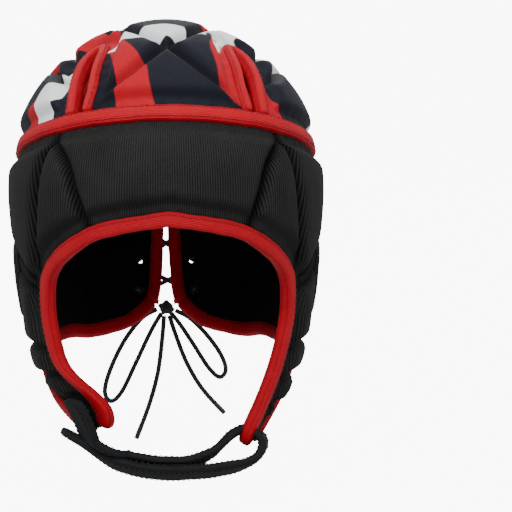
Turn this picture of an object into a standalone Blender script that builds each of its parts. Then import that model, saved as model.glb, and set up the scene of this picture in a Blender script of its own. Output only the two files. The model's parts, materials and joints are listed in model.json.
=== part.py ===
"""Rugby scrum cap: a padded crown of five petals and a deep foam band with ear flaps.

Metres, +Z up, the face looks along -Y and the wearer's left ear is at +X. The origin is the point
of the lining that sits on top of the head. Every wall lies on one head form, which is a function of
a bearing (0 at the front, 90 degrees at +X, 180 at the back) and a level (0 at the top of the head,
1 where the dome ends, 2 one skirt depth lower). Seams, grooves, slits and edges are trails of
bearings and levels on that form.
"""
import math

import bmesh
import bpy
import numpy as np
from mathutils import Matrix, Vector
from mathutils.geometry import delaunay_2d_cdt

NAME = "rugby_scrum_cap"

# Head form, measured at the lining
HALF_WIDTH = 0.080
FRONT_REACH = 0.097
BACK_REACH = 0.103
DOME_HEIGHT = 0.083
SKIRT_DEPTH = 0.150
SQUARENESS = 2.2

# Foam walls
PAD_THICKNESS = 0.0102
GROOVE_THICKNESS = 0.0042
EDGE_THICKNESS = 0.0060
GROOVE_HALF_WIDTH = 0.0048
SLIT_HALF_WIDTH = 0.0030
PERFORATION_DIAMETER = 0.0040
EYELET_DIAMETER = 0.0046

# Binding tapes
EDGE_TAPE_WIDTH = 0.0085
EDGE_TAPE_THICKNESS = 0.0062
SEAM_TAPE_WIDTH = 0.0096
SEAM_TAPE_THICKNESS = 0.0076
VENT_TAPE_WIDTH = 0.0062
VENT_TAPE_THICKNESS = 0.0066
TAPE_LIFT = 0.0004
JOINT_GAP = 0.0005
LOOSE_GAP = 0.0008
KNOT_GAP = 0.0007

# Chin strap and lace
STRAP_WIDTH = 0.024
STRAP_THICKNESS = 0.0030
LACE_DIAMETER = 0.0030
KNOT_RADIUS = 0.0055
KNOT_SHAPE = (1.0, 0.8, 0.9)

# How far the right tab is drawn forward by the chin strap; where that starts and ends as shares of
# the skirt depth, of the half width and of the front reach
TAB_DRAW = Vector((0.0130, -0.0140, 0.0190))
TAB_DRAW_START = 0.60
TAB_DRAW_END = 0.94
TAB_DRAW_SIDE = 0.30
TAB_DRAW_FRONT = (0.20, 0.65)

# Mesh fineness
EDGE_STEP = 0.0090
GROOVE_STEP = 0.0120
PAD_STEP = 0.0210
PAD_ROW_SHARE = 0.87
PAD_CLEARANCE = 0.62
SHOULDER_CLEARANCE = 0.70
EDGE_SHOULDER_CLEARANCE = 0.80
PERFORATION_SIDES = 6
EYELET_SIDES = 8
BAR_SIDES = 6
BAR_FULLNESS = 1.12
SEAM_STATIONS = 27
STRAP_STATIONS = 34
RETURN_STATIONS = 34
LACE_STATIONS = 33
CURVE_SAMPLES = 201
CORD_STATION_SHARE = 2.2

# Shape of the skirt: drop as a share of the skirt depth; width, front and back reach as shares of
# their sizes at the foot of the dome
SKIRT_SHAPE = np.array((
    # drop, width, front, back
    (0.000, 1.000, 1.000, 1.000),
    (0.200, 0.985, 0.975, 0.985),
    (0.400, 0.955, 0.930, 0.920),
    (0.567, 0.905, 0.870, 0.800),
    (0.733, 0.820, 0.800, 0.660),
    (0.900, 0.680, 0.720, 0.500),
    (1.067, 0.500, 0.630, 0.360),
))

# Seam between crown and band: level as a cosine series of the bearing
SEAM_SERIES = (0.840, -0.165, -0.025, 0.008)
# Levels where the crown's slit edge ends, where the band's starts, where the foam in the tabs ends,
# and levels that are surely above and below each wall
CROWN_SLIT_END = 1.06
BAND_SLIT_START = 0.80
TAB_FOAM_END = 1.86
REAR_JOINT_END = 0.12
ABOVE_BAND = 0.30
BELOW_CROWN = 1.20
# Room that the bent slit tape takes beside the middle, in tape widths, and where its top turns
SLIT_TAPE_REACH = 1.7
SLIT_TURN_SHARE = 0.3

# Free edge of the left half: face opening, ear tab, neck and back slit (bearing, level)
FACE_EDGE = (
    (0, 1.087), (16, 1.113), (28, 1.150), (41, 1.233), (48, 1.304), (50.5, 1.367),
    (52, 1.467), (51, 1.587), (49.3, 1.687), (47, 1.800), (46, 1.900), (49, 1.958), (55, 1.972),
)
NECK_EDGE = (
    (55, 1.972), (61, 1.960), (66, 1.915), (69.5, 1.872), (75, 1.819), (85, 1.746), (97.5, 1.694),
    (111.5, 1.669), (128, 1.662), (142, 1.676), (159.5, 1.657), (168, 1.622), (175.6, 1.570),
)
# Back slit: level and the half width of the gap as a share of the tape width
SLIT_EDGE = ((1.570, 0.77), (1.50, 0.44), (1.35, 0.24), (1.19, 0.16), (1.05, 0.34), (0.943, 0.46),
             (0.80, 0.30), (0.64, 0.12), (0.53, 0.06))
SLIT_TOP = 0.470

# Vents between the petals: both edges of the gap, from the seam round the top and back to the seam
FRONT_VENT = ((36.8, 0.690), (37.5, 0.640), (39.5, 0.548), (46.5, 0.430), (52.5, 0.365), (58, 0.335),
              (57.5, 0.385), (52.5, 0.450), (45.0, 0.560), (41.0, 0.650), (40.4, 0.712))
REAR_VENT = ((117.3, 0.960), (119.5, 0.905), (126.4, 0.790), (130.6, 0.650), (129.5, 0.520),
             (128.5, 0.440), (132.8, 0.500), (135.2, 0.650), (131.0, 0.805), (124.0, 0.920),
             (122.0, 0.980))

# Grooves between the pads (bearing, level)
BAND_GROOVES = (
    ((44.0, 0.740), (45.5, 0.780), (49, 0.870), (51.5, 1.030), (53, 1.140), (54.5, 1.250), (53, 1.320)),
    ((45.5, 0.780), (37, 0.873), (33.5, 0.968), (30, 1.060), (28.5, 1.120)),
    ((52, 1.335), (58.3, 1.313), (71, 1.233), (91.6, 1.179), (107, 1.115), (119, 1.080)),
    ((55, 1.362), (62, 1.340), (71, 1.285)),
    ((72.7, 1.232), (72.7, 1.308), (75, 1.430), (78.3, 1.521)),
    ((78.3, 1.521), (92.4, 1.489), (114, 1.470), (121.7, 1.407)),
    ((55, 1.590), (61.7, 1.581), (86.5, 1.590), (100, 1.600)),
    ((52, 1.705), (64, 1.695), (84, 1.716)),
    ((50, 1.800), (60, 1.800), (74, 1.815)),
    ((122, 0.900), (120, 1.000), (119, 1.080), (118.7, 1.251), (121.7, 1.407)),
    ((146, 0.900), (145, 1.031), (141.5, 1.192), (141.3, 1.371), (138.5, 1.500), (137.6, 1.650)),
    ((168, 1.250), (156, 1.305), (142, 1.363), (121.7, 1.407)),
)
CROWN_GROOVES = (
    ((0, 0.310), (12, 0.410), (19, 0.485), (27, 0.565), (31, 0.625), (34, 0.690)),
    ((0, 0.310), (25, 0.225), (55, 0.180), (75, 0.195), (70, 0.270), (60, 0.330)),
    ((55.5, 0.400), (74, 0.415), (88, 0.420), (105, 0.420), (127, 0.425)),
    ((88, 0.420), (88, 0.490)),
    ((88, 0.490), (68, 0.525), (48, 0.545)),
    ((88, 0.490), (98, 0.600), (107, 0.730), (112, 0.870)),
    ((75, 0.195), (104, 0.185), (124, 0.270), (129, 0.440)),
    ((152, 0.620), (158, 0.780), (162.5, 0.900), (163.5, 0.960)),
    ((152, 0.620), (161, 0.535), (173, 0.520)),
    ((152, 0.620), (143, 0.650), (134, 0.690)),
    ((152, 0.620), (148, 0.460), (155, 0.300), (180, 0.240)),
)
# Narrow moulded slits over the ear, and the level shares of the perforations along each
EAR_SLITS = (
    (((85, 1.262), (85.7, 1.433)), (0.25, 0.80)),
    (((93.4, 1.239), (94, 1.418)), (0.52,)),
    (((102.8, 1.205), (103.4, 1.399)), (0.25, 0.80)),
)
EYELETS = ((169.6, 1.100), (168.9, 1.247), (167.9, 1.396), (166.6, 1.515))
KNOT_LEVEL = 1.562
LACE_START_SHARE = 0.4
# Lace from one eyelet to the next on the other side: 1 on the side it leaves or -1 past the middle,
# share of the eyelet's half width, share of the way down, turn in lace diameters, and whether that
# point is raised on the strand that passes over
LACE_CROSSING = (
    (1, 0.85, 0.00, 0.9, False),
    (1, 0.35, 0.34, 0.0, True),
    (-1, 0.35, 0.64, 0.0, True),
    (-1, 0.90, 1.00, -0.9, False),
    (-1, 1.12, 1.00, 0.0, False),
)
LACE_TO_KNOT = (0.8, 0.0, 0.6)

# Chin strap: centre line as shares of the half width, front reach and skirt depth (x, y, drop below
# the dome), then where its outer face looks: bearing, and degrees up from straight down
STRAP_FREE_END = (
    (-0.775, -0.290, 0.939, -55, 30),
    (-0.700, -0.345, 0.952, -50, 28),
    (-0.588, -0.415, 0.984, -42, 26),
)
STRAP_CHIN = (
    (-0.393, -0.490, 1.038, -28, 24),
    (-0.196, -0.522, 1.056, -14, 22),
    (0.000, -0.528, 1.067, 0, 22),
    (0.262, -0.518, 1.063, 14, 22),
    (0.459, -0.505, 1.062, 24, 24),
    (0.589, -0.480, 1.052, 36, 34),
    (0.668, -0.445, 1.026, 46, 50),
)
# Inner strand: free rows below the right tab, the stretch that lies on the outer strand, counted in
# its rows, and free rows up to the inner face of the left tab
STRAP_RIGHT = (
    (-0.550, -0.528, 0.934, -58, 48),
    (-0.460, -0.520, 0.968, -46, 34),
    (-0.319, -0.512, 1.004, -28, 22),
)
INNER_RUN = (4.0, 6.1)
STRAP_RETURN = (
    (0.375, -0.490, 0.972, 26, 32),
    (0.462, -0.482, 0.924, 44, 56),
)
# Where the strands are sewn to the tabs (bearing, level), how far up they go, and how far the inner
# strand lies below the left tab's lining
TAB_SEAT = (56.0, 1.945)
SEAT_LENGTH = 0.010
SEAT_HOLLOW = 0.0006
SEAT_START_SHARE = 0.2

# Bow of the lace: centre lines from the knot as offsets in metres (x, outward, down), a cord's own
# points chosen by hand
BOW_CORDS = {
    "lace_loop_left": ((0.0062, 0.000, 0.002), (0.015, 0.000, 0.007), (0.026, -0.001, 0.018),
                       (0.035, -0.002, 0.031), (0.038, -0.002, 0.041), (0.034, 0.000, 0.046),
                       (0.027, 0.002, 0.040), (0.018, 0.004, 0.026), (0.009, 0.004, 0.012),
                       (0.0048, 0.003, 0.0062)),
    "lace_loop_right": ((-0.0064, 0.000, 0.001), (-0.016, 0.000, 0.007), (-0.027, -0.001, 0.021),
                        (-0.036, -0.002, 0.039), (-0.040, -0.002, 0.054), (-0.036, 0.000, 0.061),
                        (-0.029, 0.002, 0.055), (-0.020, 0.004, 0.037), (-0.010, 0.004, 0.016),
                        (-0.0052, 0.003, 0.0066)),
    "lace_tail_left": ((0.0025, -0.001, 0.0068), (0.006, -0.001, 0.018), (0.013, -0.003, 0.036),
                       (0.023, -0.004, 0.053), (0.037, -0.004, 0.069)),
    "lace_tail_right": ((-0.0020, -0.001, 0.0072), (-0.003, -0.001, 0.022), (-0.006, -0.003, 0.043),
                        (-0.012, -0.004, 0.064), (-0.020, -0.004, 0.085)),
}

MATERIALS = {
    # colour, roughness, metallic
    "printed_fabric": ((0.045, 0.052, 0.072), 0.75, 0.0),
    "black_foam": ((0.018, 0.018, 0.019), 0.80, 0.0),
    "red_tape": ((0.620, 0.018, 0.024), 0.70, 0.0),
    "black_webbing": ((0.012, 0.012, 0.013), 0.85, 0.0),
    "black_cord": ((0.010, 0.010, 0.011), 0.70, 0.0),
}


def smooth_table(x, columns, knots):
    """Reads columns of a table at x by cubic pieces that start level and keep the table's slopes."""
    slopes = np.gradient(columns, knots, axis=0)
    slopes[0] = 0.0
    x = np.clip(x, knots[0], knots[-1])
    i = np.clip(np.searchsorted(knots, x, side="right") - 1, 0, len(knots) - 2)
    span = knots[i + 1] - knots[i]
    s = ((x - knots[i]) / span)[..., None]
    span = span[..., None]
    return ((1 + 2 * s) * (1 - s) ** 2 * columns[i] + s * (1 - s) ** 2 * span * slopes[i]
            + s * s * (3 - 2 * s) * columns[i + 1] + s * s * (s - 1) * span * slopes[i + 1])


def ease(x):
    """Smooth step from 0 to 1."""
    x = np.clip(x, 0.0, 1.0)
    return x * x * (3 - 2 * x)


def form(bearing, level):
    """Points of the lining for bearings in degrees (negative on the right side) and levels."""
    bearing, level = np.broadcast_arrays(np.asarray(bearing, float), np.asarray(level, float))
    dome = np.clip(level, 0.0, 1.0) * math.pi / 2
    drop = np.maximum(level - 1.0, 0.0)
    shape = smooth_table(drop, SKIRT_SHAPE[:, 1:], SKIRT_SHAPE[:, 0])
    sine, cosine = np.sin(np.radians(bearing)), np.cos(np.radians(bearing))
    reach = np.where(cosine > 0, FRONT_REACH * shape[..., 1], BACK_REACH * shape[..., 2])
    round_off = (np.abs(sine) ** SQUARENESS + np.abs(cosine) ** SQUARENESS) ** (-1 / SQUARENESS)
    x = HALF_WIDTH * shape[..., 0] * np.sin(dome) * sine * round_off
    y = -reach * np.sin(dome) * cosine * round_off
    z = DOME_HEIGHT * (np.cos(dome) - 1.0) - SKIRT_DEPTH * drop
    return np.stack([x, y, z], axis=-1)


def drawn_tab(points):
    """The points, with those of the right tab drawn forward and inward by the chin strap."""
    points = np.asarray(points, float)
    drop = (-points[:, 2] - DOME_HEIGHT) / SKIRT_DEPTH
    pull = ease((drop - TAB_DRAW_START) / (TAB_DRAW_END - TAB_DRAW_START))
    pull *= ease(-points[:, 0] / (TAB_DRAW_SIDE * HALF_WIDTH))
    start, end = TAB_DRAW_FRONT
    pull *= ease((-points[:, 1] / FRONT_REACH - start) / (end - start))
    return points + pull[:, None] * np.array(TAB_DRAW)


def slopes(bearing, level):
    """Derivatives of the form along the bearing (per degree) and the level."""
    step = 0.01
    level = np.maximum(level, 2 * step)
    across = (form(bearing + step, level) - form(bearing - step, level)) / (2 * step)
    down = (form(bearing, level + step) - form(bearing, level - step)) / (2 * step)
    return across, down


def unit(vectors):
    """Vectors scaled to length one."""
    return vectors / np.maximum(np.linalg.norm(vectors, axis=-1, keepdims=True), 1e-12)


def normals(bearing, level):
    """Outward normals of the form."""
    across, down = slopes(bearing, level)
    return unit(np.cross(down, across))


def lifted(bearing, level, height):
    """Points at a height above the lining."""
    normal = normals(bearing, level)
    return form(bearing, level) + normal * np.asarray(height, float)[..., None]


def lengths_along(points):
    """Length from the first point to each point."""
    return np.concatenate([[0.0], np.cumsum(np.linalg.norm(np.diff(points, axis=0), axis=1))])


def smooth_path(rows, count):
    """A smooth curve through the rows, read at count steps of equal row length."""
    rows = np.asarray(rows, float)
    knots = np.arange(len(rows), dtype=float)
    tangents = np.gradient(rows, axis=0)
    at = np.linspace(0, len(rows) - 1, count)
    i = np.clip(at.astype(int), 0, len(rows) - 2)
    s = (at - knots[i])[:, None]
    return ((1 + 2 * s) * (1 - s) ** 2 * rows[i] + s * (1 - s) ** 2 * tangents[i]
            + s * s * (3 - 2 * s) * rows[i + 1] + s * s * (s - 1) * tangents[i + 1])


def trail(rows, step):
    """A smooth trail through rows of bearing and level, with points about one step apart."""
    fine = smooth_path(rows, 24 * len(rows))
    along = lengths_along(form(fine[:, 0], fine[:, 1]))
    count = max(int(round(along[-1] / step)), 1) + 1
    at = np.linspace(0, along[-1], count)
    return np.stack([np.interp(at, along, fine[:, k]) for k in range(2)], axis=1)


def sideways(path):
    """Unit vectors on the form to the left of a trail."""
    points = form(path[:, 0], path[:, 1])
    along = unit(np.gradient(points, axis=0))
    return unit(np.cross(normals(path[:, 0], path[:, 1]), along))


def inset(path, distance):
    """The trail moved to its left by a distance along the form."""
    move = sideways(path) * np.asarray(distance, float).reshape(-1, 1)
    across, down = slopes(path[:, 0], path[:, 1])
    aa, ad, dd = (across * across).sum(1), (across * down).sum(1), (down * down).sum(1)
    ma, md = (move * across).sum(1), (move * down).sum(1)
    det = aa * dd - ad * ad
    moved = path + np.stack([(ma * dd - md * ad) / det, (md * aa - ma * ad) / det], axis=1)
    on_middle = (path[:, 0] < 1e-6) & (path[:, 0] > -1e-6)
    moved[on_middle, 0] = 0.0
    return moved


def seam_level(bearing):
    """Level of the seam between crown and band."""
    angle = np.radians(bearing)
    return sum(share * np.cos(k * angle) for k, share in enumerate(SEAM_SERIES))


def slit_trail(step):
    """Free edge of the back slit on the left, from the neck up to the top of the slit."""
    rows = []
    for level, share in SLIT_EDGE:
        radius = abs(form(180.0, level)[1])
        rows.append((180 - math.degrees(share * EDGE_TAPE_WIDTH / radius), level))
    rows.append((179.99, SLIT_TOP))
    return trail(rows, step)


SEAM = np.stack([np.linspace(0, 180, 61), seam_level(np.linspace(0, 180, 61))], axis=1)
FACE = trail(FACE_EDGE, EDGE_STEP)
NECK = trail(NECK_EDGE, EDGE_STEP)
SLIT = slit_trail(EDGE_STEP)
VENTS = {"front": trail(FRONT_VENT, 0.5 * EDGE_STEP), "rear": trail(REAR_VENT, 0.55 * EDGE_STEP)}


def to_plane(path, radius):
    """Flattens a trail: the crown about the top of the head, the band unrolled."""
    bearing, level = np.radians(path[:, 0]), path[:, 1]
    if radius is None:
        reach = level * (DOME_HEIGHT + HALF_WIDTH)
        return np.stack([reach * np.sin(bearing), -reach * np.cos(bearing)], axis=1)
    return np.stack([bearing * radius, -level * SKIRT_DEPTH], axis=1)


def from_plane(points, radius):
    """Bearings and levels of points in the flat pattern."""
    if radius is None:
        level = np.hypot(points[:, 0], points[:, 1]) / (DOME_HEIGHT + HALF_WIDTH)
        return np.stack([np.degrees(np.arctan2(points[:, 0], -points[:, 1])), level], axis=1)
    return np.stack([np.degrees(points[:, 0] / radius), -points[:, 1] / SKIRT_DEPTH], axis=1)


def inside(points, outline):
    """Which points lie inside a closed outline."""
    x, y = points[:, 0][:, None], points[:, 1][:, None]
    ax, ay = outline[:, 0][None], outline[:, 1][None]
    bx, by = np.roll(ax, -1, axis=1), np.roll(ay, -1, axis=1)
    crosses = (ay > y) != (by > y)
    slope = np.where(by == ay, 1.0, by - ay)
    return ((x < (bx - ax) * (y - ay) / slope + ax) & crosses).sum(1) % 2 == 1


def distance_to(points, lines):
    """Least distance from each point to a set of polylines in space."""
    best = np.full(len(points), np.inf)
    for line in lines:
        a, b = line[:-1][None], line[1:][None]
        p = points[:, None]
        run = ((b - a) ** 2).sum(-1)
        share = np.clip(((p - a) * (b - a)).sum(-1) / np.maximum(run, 1e-12), 0, 1)[..., None]
        best = np.minimum(best, np.linalg.norm(p - a - share * (b - a), axis=-1).min(1))
    return best


def on_form(path):
    """Points of a trail in space."""
    return form(path[:, 0], path[:, 1])


def ring_of(centre, diameter, sides):
    """A small round hole's outline as bearings and levels."""
    centre = np.asarray(centre, float)
    across, down = slopes(centre[0], centre[1])
    turn = np.arange(sides) * 2 * math.pi / sides
    return np.stack([
        centre[0] + 0.5 * diameter * np.cos(turn) / np.linalg.norm(across),
        centre[1] + 0.5 * diameter * np.sin(turn) / np.linalg.norm(down),
    ], axis=1)


def pad_height(path, grooves, slits, edges):
    """Foam thickness: full on a pad, thin in a groove, rounded down towards an edge."""
    points = on_form(path)
    depth = PAD_THICKNESS - GROOVE_THICKNESS
    height = GROOVE_THICKNESS + depth * ease(distance_to(points, grooves) / GROOVE_HALF_WIDTH)
    if slits:
        narrow = GROOVE_THICKNESS + depth * ease(distance_to(points, slits) / SLIT_HALF_WIDTH)
        height = np.minimum(height, narrow)
    rounded = EDGE_THICKNESS + (PAD_THICKNESS - EDGE_THICKNESS) * ease(
        distance_to(points, edges) / GROOVE_HALF_WIDTH)
    return np.minimum(height, rounded)


def pattern_points(radius, box, avoid, step):
    """Pad points on a staggered grid, kept away from the grooves and edges."""
    low, high = box
    rows = np.arange(low[1], high[1], step * PAD_ROW_SHARE)
    points = [(x + (0.5 * step if k % 2 else 0.0), y) for k, y in enumerate(rows)
              for x in np.arange(low[0], high[0], step)]
    points = np.array(points)
    path = from_plane(points, radius)
    return points[distance_to(on_form(path), avoid) > PAD_CLEARANCE * step]


def flat_mesh(radius, loops, lines, keep, grooves, slits, edges):
    """Meshes a flat pattern and returns its trail points, heights and triangles."""
    points, joins = [], []
    for path, closed in [(loop, True) for loop in loops] + [(line, False) for line in lines]:
        first = len(points)
        points.extend(to_plane(path, radius))
        count = len(path)
        joins.extend((first + k, first + (k + 1) % count) for k in range(count if closed else count - 1))
    groove_lines = [on_form(line) for line in grooves]
    slit_lines = [on_form(line) for line in slits]
    edge_lines = [on_form(edge) for edge in edges]
    pattern = np.array(points)
    for line in grooves:
        for side in (-1, 1):
            shoulder = inset(line, side * GROOVE_HALF_WIDTH)
            away = distance_to(on_form(shoulder), groove_lines + edge_lines)
            shoulder = shoulder[away > SHOULDER_CLEARANCE * GROOVE_HALF_WIDTH]
            points.extend(to_plane(shoulder, radius))
    for line in slits:
        for side in (-1, 1):
            points.extend(to_plane(inset(line, side * SLIT_HALF_WIDTH), radius))
    for edge in edges:
        shoulder = inset(edge, GROOVE_HALF_WIDTH)
        away = distance_to(on_form(shoulder), groove_lines)
        shoulder = shoulder[away > EDGE_SHOULDER_CLEARANCE * GROOVE_HALF_WIDTH]
        points.extend(to_plane(shoulder[::2], radius))
    box = (pattern.min(0), pattern.max(0))
    points.extend(pattern_points(radius, box, groove_lines + edge_lines + slit_lines, PAD_STEP))
    found, _, faces, _, _, _ = delaunay_2d_cdt([Vector(p) for p in points], joins, [], 0, 1e-5)
    found = np.array([(p.x, p.y) for p in found])
    found[:, 0] = np.where(np.abs(found[:, 0]) < 2e-4, 0.0, found[:, 0])
    corners = np.array([face for face in faces if len(face) == 3])
    middle = found[corners].mean(1)
    corners = corners[keep(middle) & (middle[:, 0] > 1e-6)]
    used = np.unique(corners)
    number = np.full(len(found), -1)
    number[used] = np.arange(len(used))
    path = from_plane(found[used], radius)
    path[:, 0] = np.where(found[used, 0] == 0.0, np.where(path[:, 0] > 90, 180.0, 0.0), path[:, 0])
    height = pad_height(path, groove_lines, slit_lines, edge_lines)
    return path, height, number[corners]


def new_object(name, mesh, material, drawn=False):
    """Puts a mesh in the cap's collection with its material, its right tab drawn forward if wanted."""
    if drawn:
        for vertex, place in zip(mesh.vertices, drawn_tab([vertex.co for vertex in mesh.vertices])):
            vertex.co = place
    item = bpy.data.objects.new(name, mesh)
    item.data.materials.append(MADE[material])
    CAP.objects.link(item)
    mesh.shade_smooth()
    mesh.set_sharp_from_angle(angle=math.radians(50))
    return item


def padded_wall(name, material, path, height, corners):
    """A closed foam wall: both halves of a pattern on the lining, extruded to the pads' height."""
    mesh = bpy.data.meshes.new(name)
    bm = bmesh.new()
    layers = [bm.verts.layers.float.new(key) for key in ("bearing", "level", "height")]
    shared = {}
    for side in (1, -1):
        bearing = path[:, 0] * side
        made = []
        for k, place in enumerate(form(bearing, path[:, 1])):
            if k in shared:
                made.append(shared[k])
                continue
            vertex = bm.verts.new(place)
            for layer, value in zip(layers, (bearing[k], path[k, 1], height[k])):
                vertex[layer] = value
            made.append(vertex)
            if path[k, 0] in (0.0, 180.0) or path[k, 1] < 1e-4:
                shared[k] = vertex
        for face in corners:
            order = face if side == 1 else face[::-1]
            bm.faces.new([made[k] for k in order])
    grown = bmesh.ops.extrude_face_region(bm, geom=bm.faces[:], use_keep_orig=True)
    raised = [item for item in grown["geom"] if isinstance(item, bmesh.types.BMVert)]
    values = np.array([[vertex[layer] for layer in layers] for vertex in raised])
    for vertex, place in zip(raised, lifted(values[:, 0], values[:, 1], values[:, 2])):
        vertex.co = place
    bmesh.ops.triangulate(bm, faces=bm.faces[:])
    bmesh.ops.recalc_face_normals(bm, faces=bm.faces[:])
    bm.to_mesh(mesh)
    bm.free()
    return new_object(name, mesh, material, drawn=True)


def swept(name, material, centres, across, up, width, thickness, drawn):
    """A rounded bar of a width and a thickness carried along a path."""
    turn = (np.arange(BAR_SIDES) + 0.5) * 2 * math.pi / BAR_SIDES
    full = BAR_FULLNESS / math.cos(math.pi / BAR_SIDES)
    x = 0.5 * width * np.clip(np.cos(turn) * full, -1, 1)[None, :, None]
    y = 0.5 * thickness * np.clip(np.sin(turn) * full, -1, 1)[None, :, None]
    rings = centres[:, None] + across[:, None] * x + up[:, None] * y
    mesh = bpy.data.meshes.new(name)
    bm = bmesh.new()
    made = [[bm.verts.new(point) for point in ring] for ring in rings]
    for near, far in zip(made[:-1], made[1:]):
        for j in range(BAR_SIDES):
            n = (j + 1) % BAR_SIDES
            bm.faces.new((near[j], near[n], far[n], far[j]))
    bm.faces.new(made[0][::-1])
    bm.faces.new(made[-1])
    bmesh.ops.triangulate(bm, faces=bm.faces[:])
    bmesh.ops.recalc_face_normals(bm, faces=bm.faces[:])
    bm.to_mesh(mesh)
    bm.free()
    return new_object(name, mesh, material, drawn)


def tape(name, path, width, thickness):
    """A binding tape that lies along a trail, from just above the lining to its thickness."""
    centres = lifted(path[:, 0], path[:, 1], np.full(len(path), TAPE_LIFT + 0.5 * thickness))
    return swept(name, "red_tape", centres, sideways(path), normals(path[:, 0], path[:, 1]),
                 width, thickness, drawn=True)


def mirrored(path):
    """The same trail on the right side, run the other way so that its left stays inward."""
    return path[::-1] * np.array((-1.0, 1.0))


def both_sides(path):
    """A trail from the right side through the middle to the left side."""
    return np.concatenate([mirrored(path)[:-1], path])


def tube(name, material, rows, count):
    """A round cord along a smooth path through the rows, as a curve with filled caps."""
    curve = bpy.data.curves.new(name, "CURVE")
    curve.dimensions = "3D"
    curve.bevel_depth = 0.5 * LACE_DIAMETER
    curve.bevel_resolution = 2
    curve.use_fill_caps = True
    points = smooth_path(rows, count)
    spline = curve.splines.new("POLY")
    spline.points.add(len(points) - 1)
    for slot, place in zip(spline.points, points):
        slot.co = (*place, 1.0)
    item = bpy.data.objects.new(name, curve)
    item.data.materials.append(MADE[material])
    CAP.objects.link(item)
    return item


def make_materials():
    """One material for each kind of cloth, foam and cord."""
    made = {}
    for name, (colour, roughness, metallic) in MATERIALS.items():
        material = bpy.data.materials.new(name)
        material.use_nodes = True
        shader = material.node_tree.nodes["Principled BSDF"]
        shader.inputs["Base Color"].default_value = (*colour, 1.0)
        shader.inputs["Roughness"].default_value = roughness
        shader.inputs["Metallic"].default_value = metallic
        made[name] = material
    return made


def make_crown():
    """Crown of five padded petals that join over the head and part at four vents and the slit."""
    seam_edge = inset(SEAM, 0.5 * SEAM_TAPE_WIDTH + JOINT_GAP)
    slit_edge = inset(SLIT, EDGE_TAPE_WIDTH + JOINT_GAP)
    slit_edge = slit_edge[slit_edge[:, 1] < CROWN_SLIT_END]
    top = np.array([(180.0, SLIT_TOP - slit_cap())])
    slit_edge = np.concatenate([slit_edge[slit_edge[:, 0] < 179.9], top])
    vents = [inset(path, VENT_TAPE_WIDTH + LOOSE_GAP) for path in VENTS.values()]
    slit_hole = np.concatenate([slit_edge, [(180.2, SLIT_TOP - slit_cap()), (180.2, BELOW_CROWN)]])
    holes = [to_plane(vent, None) for vent in vents] + [to_plane(slit_hole, None)]
    grooves = [trail(rows, GROOVE_STEP) for rows in CROWN_GROOVES]

    def keep(middle):
        place = from_plane(middle, None)
        wanted = place[:, 1] < np.interp(place[:, 0], seam_edge[:, 0], seam_edge[:, 1])
        for hole in holes:
            wanted &= ~inside(middle, hole)
        return wanted

    rear_levels = np.linspace(SLIT_TOP - slit_cap(), REAR_JOINT_END, 4)
    middle_line = np.array([(180.0, level) for level in rear_levels]
                           + [(0.0, level) for level in np.linspace(0.0, seam_edge[0, 1], 9)])
    lines = [seam_edge, slit_edge, middle_line] + vents + grooves
    edges = [seam_edge, slit_edge] + vents
    path, height, corners = flat_mesh(None, [], lines, keep, grooves, [], edges)
    return padded_wall("crown", "printed_fabric", path, height, corners)


def slit_cap():
    """Level that the slit's tape takes above the slit, as it turns round the top."""
    return (EDGE_TAPE_WIDTH + JOINT_GAP) / (0.5 * math.pi * DOME_HEIGHT)


def make_band():
    """Moulded foam band: forehead, sides with ear flaps and tabs, and the laced back."""
    radius = 0.5 * (HALF_WIDTH + FRONT_REACH)
    inward = EDGE_TAPE_WIDTH + JOINT_GAP
    seam_edge = inset(SEAM, -(0.5 * SEAM_TAPE_WIDTH + JOINT_GAP))
    face_edge = inset(FACE, inward)
    neck_edge = inset(NECK, inward)
    slit_edge = inset(SLIT, inward)
    slit_edge = slit_edge[slit_edge[:, 1] > BAND_SLIT_START]
    face_edge = face_edge[: tab_end(face_edge)]
    neck_edge = neck_edge[len(neck_edge) - tab_end(neck_edge[::-1]):]
    neck_edge, slit_edge = meet(neck_edge, slit_edge)
    rim = np.concatenate([face_edge, neck_edge, slit_edge])
    outline = to_plane(np.concatenate([rim, [(160.0, ABOVE_BAND), (0.0, ABOVE_BAND)]]), radius)
    above = to_plane(np.concatenate([seam_edge, [(180.0, ABOVE_BAND), (0.0, ABOVE_BAND)]]), radius)
    holes, slits = [], []
    for rows, shares in EAR_SLITS:
        slits.append(trail(rows, GROOVE_STEP))
        top, foot = np.array(rows[0]), np.array(rows[1])
        for share in shares:
            holes.append(ring_of(top + (foot - top) * share, PERFORATION_DIAMETER, PERFORATION_SIDES))
    holes.extend(ring_of(place, EYELET_DIAMETER, EYELET_SIDES) for place in EYELETS)
    flat_holes = [to_plane(hole, radius) for hole in holes]
    grooves = [trail(rows, GROOVE_STEP) for rows in BAND_GROOVES]

    def keep(middle):
        wanted = inside(middle, outline) & ~inside(middle, above)
        for hole in flat_holes:
            wanted &= ~inside(middle, hole)
        return wanted

    middle_line = np.array([(0.0, level) for level in np.linspace(seam_edge[0, 1], face_edge[0, 1], 4)])
    lines = [seam_edge, rim, middle_line] + grooves + slits
    edges = [seam_edge[::-1], face_edge, neck_edge, slit_edge]
    path, height, corners = flat_mesh(radius, holes, lines, keep, grooves, slits, edges)
    return padded_wall("band", "black_foam", path, height, corners)


def tab_end(edge):
    """How many points of an inner edge lie above the end of the foam in the tab."""
    low = np.nonzero(edge[:, 1] > TAB_FOAM_END)[0]
    return int(low[0]) if len(low) else len(edge)


def meet(neck_edge, slit_edge):
    """Cuts the neck and slit edges back to where they cross."""
    neck_edge = neck_edge[neck_edge[:, 0] < slit_edge[:, 0].min() - 1.0]
    slit_edge = slit_edge[slit_edge[:, 1] < neck_edge[-1, 1] - 0.01]
    return neck_edge, slit_edge


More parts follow.
